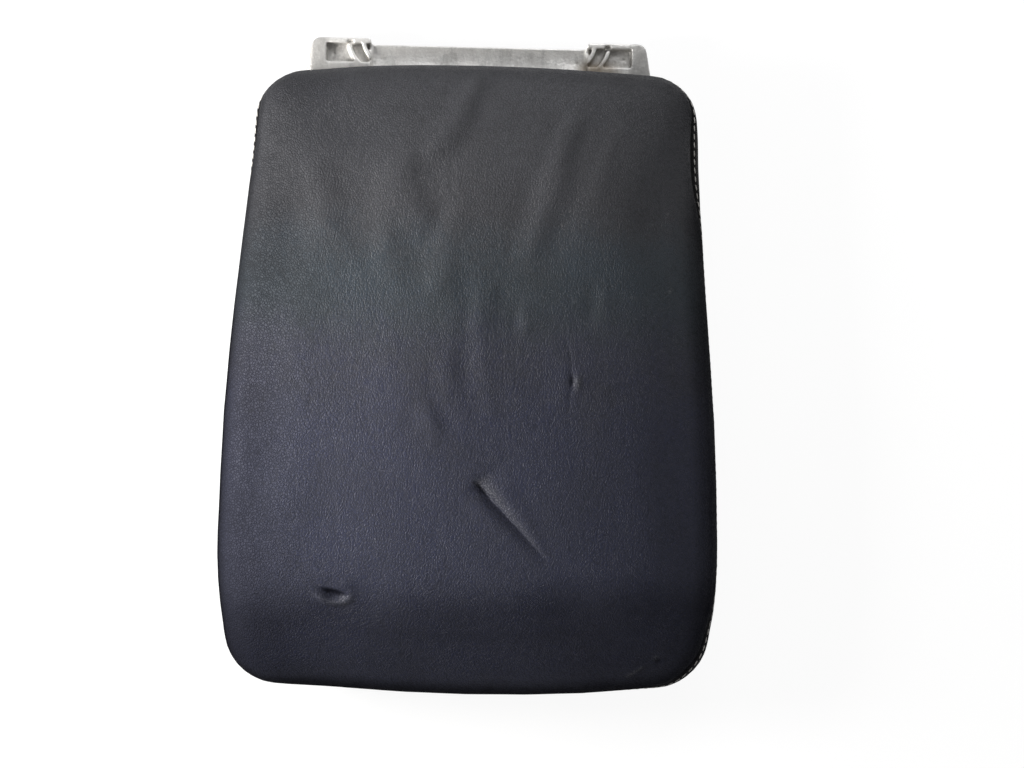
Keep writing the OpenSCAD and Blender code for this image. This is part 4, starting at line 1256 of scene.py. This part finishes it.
class ARMREST_OT_underside(bpy.types.Operator):
    """Finish the lower cover, its screws and the rubber buffers"""

    bl_idname = "armrest.underside"
    bl_label = "Underside"

    def execute(self, context):
        finish_nodes("lower_cover", "cover_screws", "buffer_front_left", "buffer_front_right",
                     "buffer_rear_left", "buffer_rear_right")
        return {"FINISHED"}


class ARMREST_OT_latch(bpy.types.Operator):
    """Finish the latch's housing, lever, pin, spring and screws"""

    bl_idname = "armrest.latch"
    bl_label = "Latch"

    def execute(self, context):
        finish_nodes("latch_housing", "latch_screws", "latch_pin", "latch_spring", "latch_lever")
        return {"FINISHED"}


# The lamps, all in metres: place, side and colour. They are aimed at one point inside the pad.
LAMP_AIM = Vector((0, 0, 0.04))
KEY_LAMP = ((-0.40, -0.01, 0.235), 0.20, (1.0, 0.985, 0.96))
FILL_LAMP = ((0.15, 0.55, 0.45), 0.40, (0.97, 0.98, 1.0))
# Half the floor's side and the distances, in mm, from which and up to which it turns white
FLOOR_SIZE, FLOOR_FADE = 6.0, (500.0, 1600.0)


def lamp(name, power, spot, size, warmth):
    """A soft square lamp, which the camera doesn't see."""
    data = bpy.data.lights.new(name, "AREA")
    data.size, data.energy, data.color = size, power, warmth
    made = add_object(name, data)
    made.location = spot
    made.rotation_euler = (LAMP_AIM - Vector(spot)).to_track_quat("-Z", "Y").to_euler()
    made.visible_camera = False


def rays(tree):
    """(camera ray, mirrored or refracted ray), each 1 or 0."""
    path = add_node(tree, "LightPath").outputs
    shiny = maths(tree, "MAXIMUM", path["Is Glossy Ray"], path["Is Transmission Ray"])
    return path["Is Camera Ray"], shiny


def add_floor(stage):
    """White paper under the lid, which shows white besides its own light."""
    material, tree, shader = blank_material("floor_paper", Roughness=0.9, Specular_IOR_Level=0.1)
    where = object_coordinates(tree)
    paper = mottle(tree, where, 300.0, 0.3)
    dress(tree, shader, Base_Color=mix(tree, paper, (0.155, 0.155, 0.155), (0.145, 0.145, 0.145)))
    seen = maths(tree, "MAXIMUM", *rays(tree))
    away = vector_maths(tree, "LENGTH", where)
    white = times(tree, seen, between(tree, away, *FLOOR_FADE, stage.floor_glow, 1.0))
    glow = add_node(tree, "Emission", {"Color": (1, 1, 1, 1), "Strength": white})
    both = add_node(tree, "AddShader", {
        0: tree.nodes["Principled BSDF"].outputs[0], 1: glow.outputs[0]})
    tree.links.new(both.outputs[0], tree.nodes["Material Output"].inputs["Surface"])
    bm = bmesh.new()
    bmesh.ops.create_grid(bm, x_segments=4, y_segments=4, size=FLOOR_SIZE)
    mesh_object("studio_floor", bm, material)


def add_background(stage):
    """A white room, which lights the scene far less than it shows."""
    world = bpy.data.worlds.new("studio")
    bpy.context.scene.world = world
    world.use_nodes = True
    tree = world.node_tree
    camera, shiny = rays(tree)
    up = xyz(tree, add_node(tree, "TexCoord").outputs["Generated"])[2]
    low_sky = times(tree, shiny, between(tree, up, 0.75, 0.25))
    shown = maths(tree, "MAXIMUM", camera, low_sky)
    back = tree.nodes["Background"].inputs
    back["Color"].default_value = (1, 1, 1, 1)
    tree.links.new(times_add(tree, shown, 1.0 - stage.ambient, stage.ambient), back["Strength"])


def add_camera(stage):
    """The photograph's camera, straight above the pad."""
    data = bpy.data.cameras.new("camera")
    data.lens, data.sensor_width = stage.lens, 36
    data.clip_start, data.clip_end = 0.02, 50
    camera = add_object("camera", data)
    camera.location = (stage.camera_x, stage.camera_y, stage.camera_z)
    camera.rotation_euler = (0, 0, stage.roll)
    bpy.context.scene.camera = camera


class ARMREST_OT_stage(bpy.types.Operator):
    """Set the floor, the white background, the lamps and the camera over the pad"""

    bl_idname = "armrest.stage"
    bl_label = "Stage"

    def execute(self, context):
        stage = context.scene.armrest_stage
        add_floor(stage)
        add_background(stage)
        lamp("key", stage.key_power, *KEY_LAMP)
        lamp("fill", stage.fill_power, *FILL_LAMP)
        add_camera(stage)
        context.scene.view_settings.view_transform = "Standard"
        return {"FINISHED"}


STEPS = ("leather_cover", "seam_thread", "casting", "pad_inside", "hinge", "underside", "latch",
         "stage")
SETTINGS = {"pad": PadSettings, "thread": ThreadSettings, "casting": CastingSettings,
            "stage": StageSettings}


class ARMREST_PT_panel(bpy.types.Panel):
    """Sizes, colours and steps of the armrest"""

    bl_label = "Armrest"
    bl_idname = "ARMREST_PT_panel"
    bl_space_type = "VIEW_3D"
    bl_region_type = "UI"
    bl_category = "Armrest"

    def draw(self, context):
        layout = self.layout
        for name in SETTINGS:
            settings = getattr(context.scene, "armrest_" + name)
            column = layout.box().column()
            column.label(text=name.capitalize())
            for key in settings.__annotations__:
                column.prop(settings, key)
        for name in STEPS:
            layout.operator("armrest." + name)


CLASSES = (
    *SETTINGS.values(), ARMREST_OT_leather_cover, ARMREST_OT_seam_thread, ARMREST_OT_casting,
    ARMREST_OT_pad_inside, ARMREST_OT_hinge, ARMREST_OT_underside, ARMREST_OT_latch,
    ARMREST_OT_stage, ARMREST_PT_panel,
)


def register():
    for cls in CLASSES:
        bpy.utils.register_class(cls)
    for name, cls in SETTINGS.items():
        setattr(bpy.types.Scene, "armrest_" + name, PointerProperty(type=cls))


def unregister():
    for name in SETTINGS:
        delattr(bpy.types.Scene, "armrest_" + name)
    for cls in reversed(CLASSES):
        bpy.utils.unregister_class(cls)


def main():
    register()
    for name in STEPS:
        getattr(bpy.ops.armrest, name)()


if __name__ == "__main__":
    main()
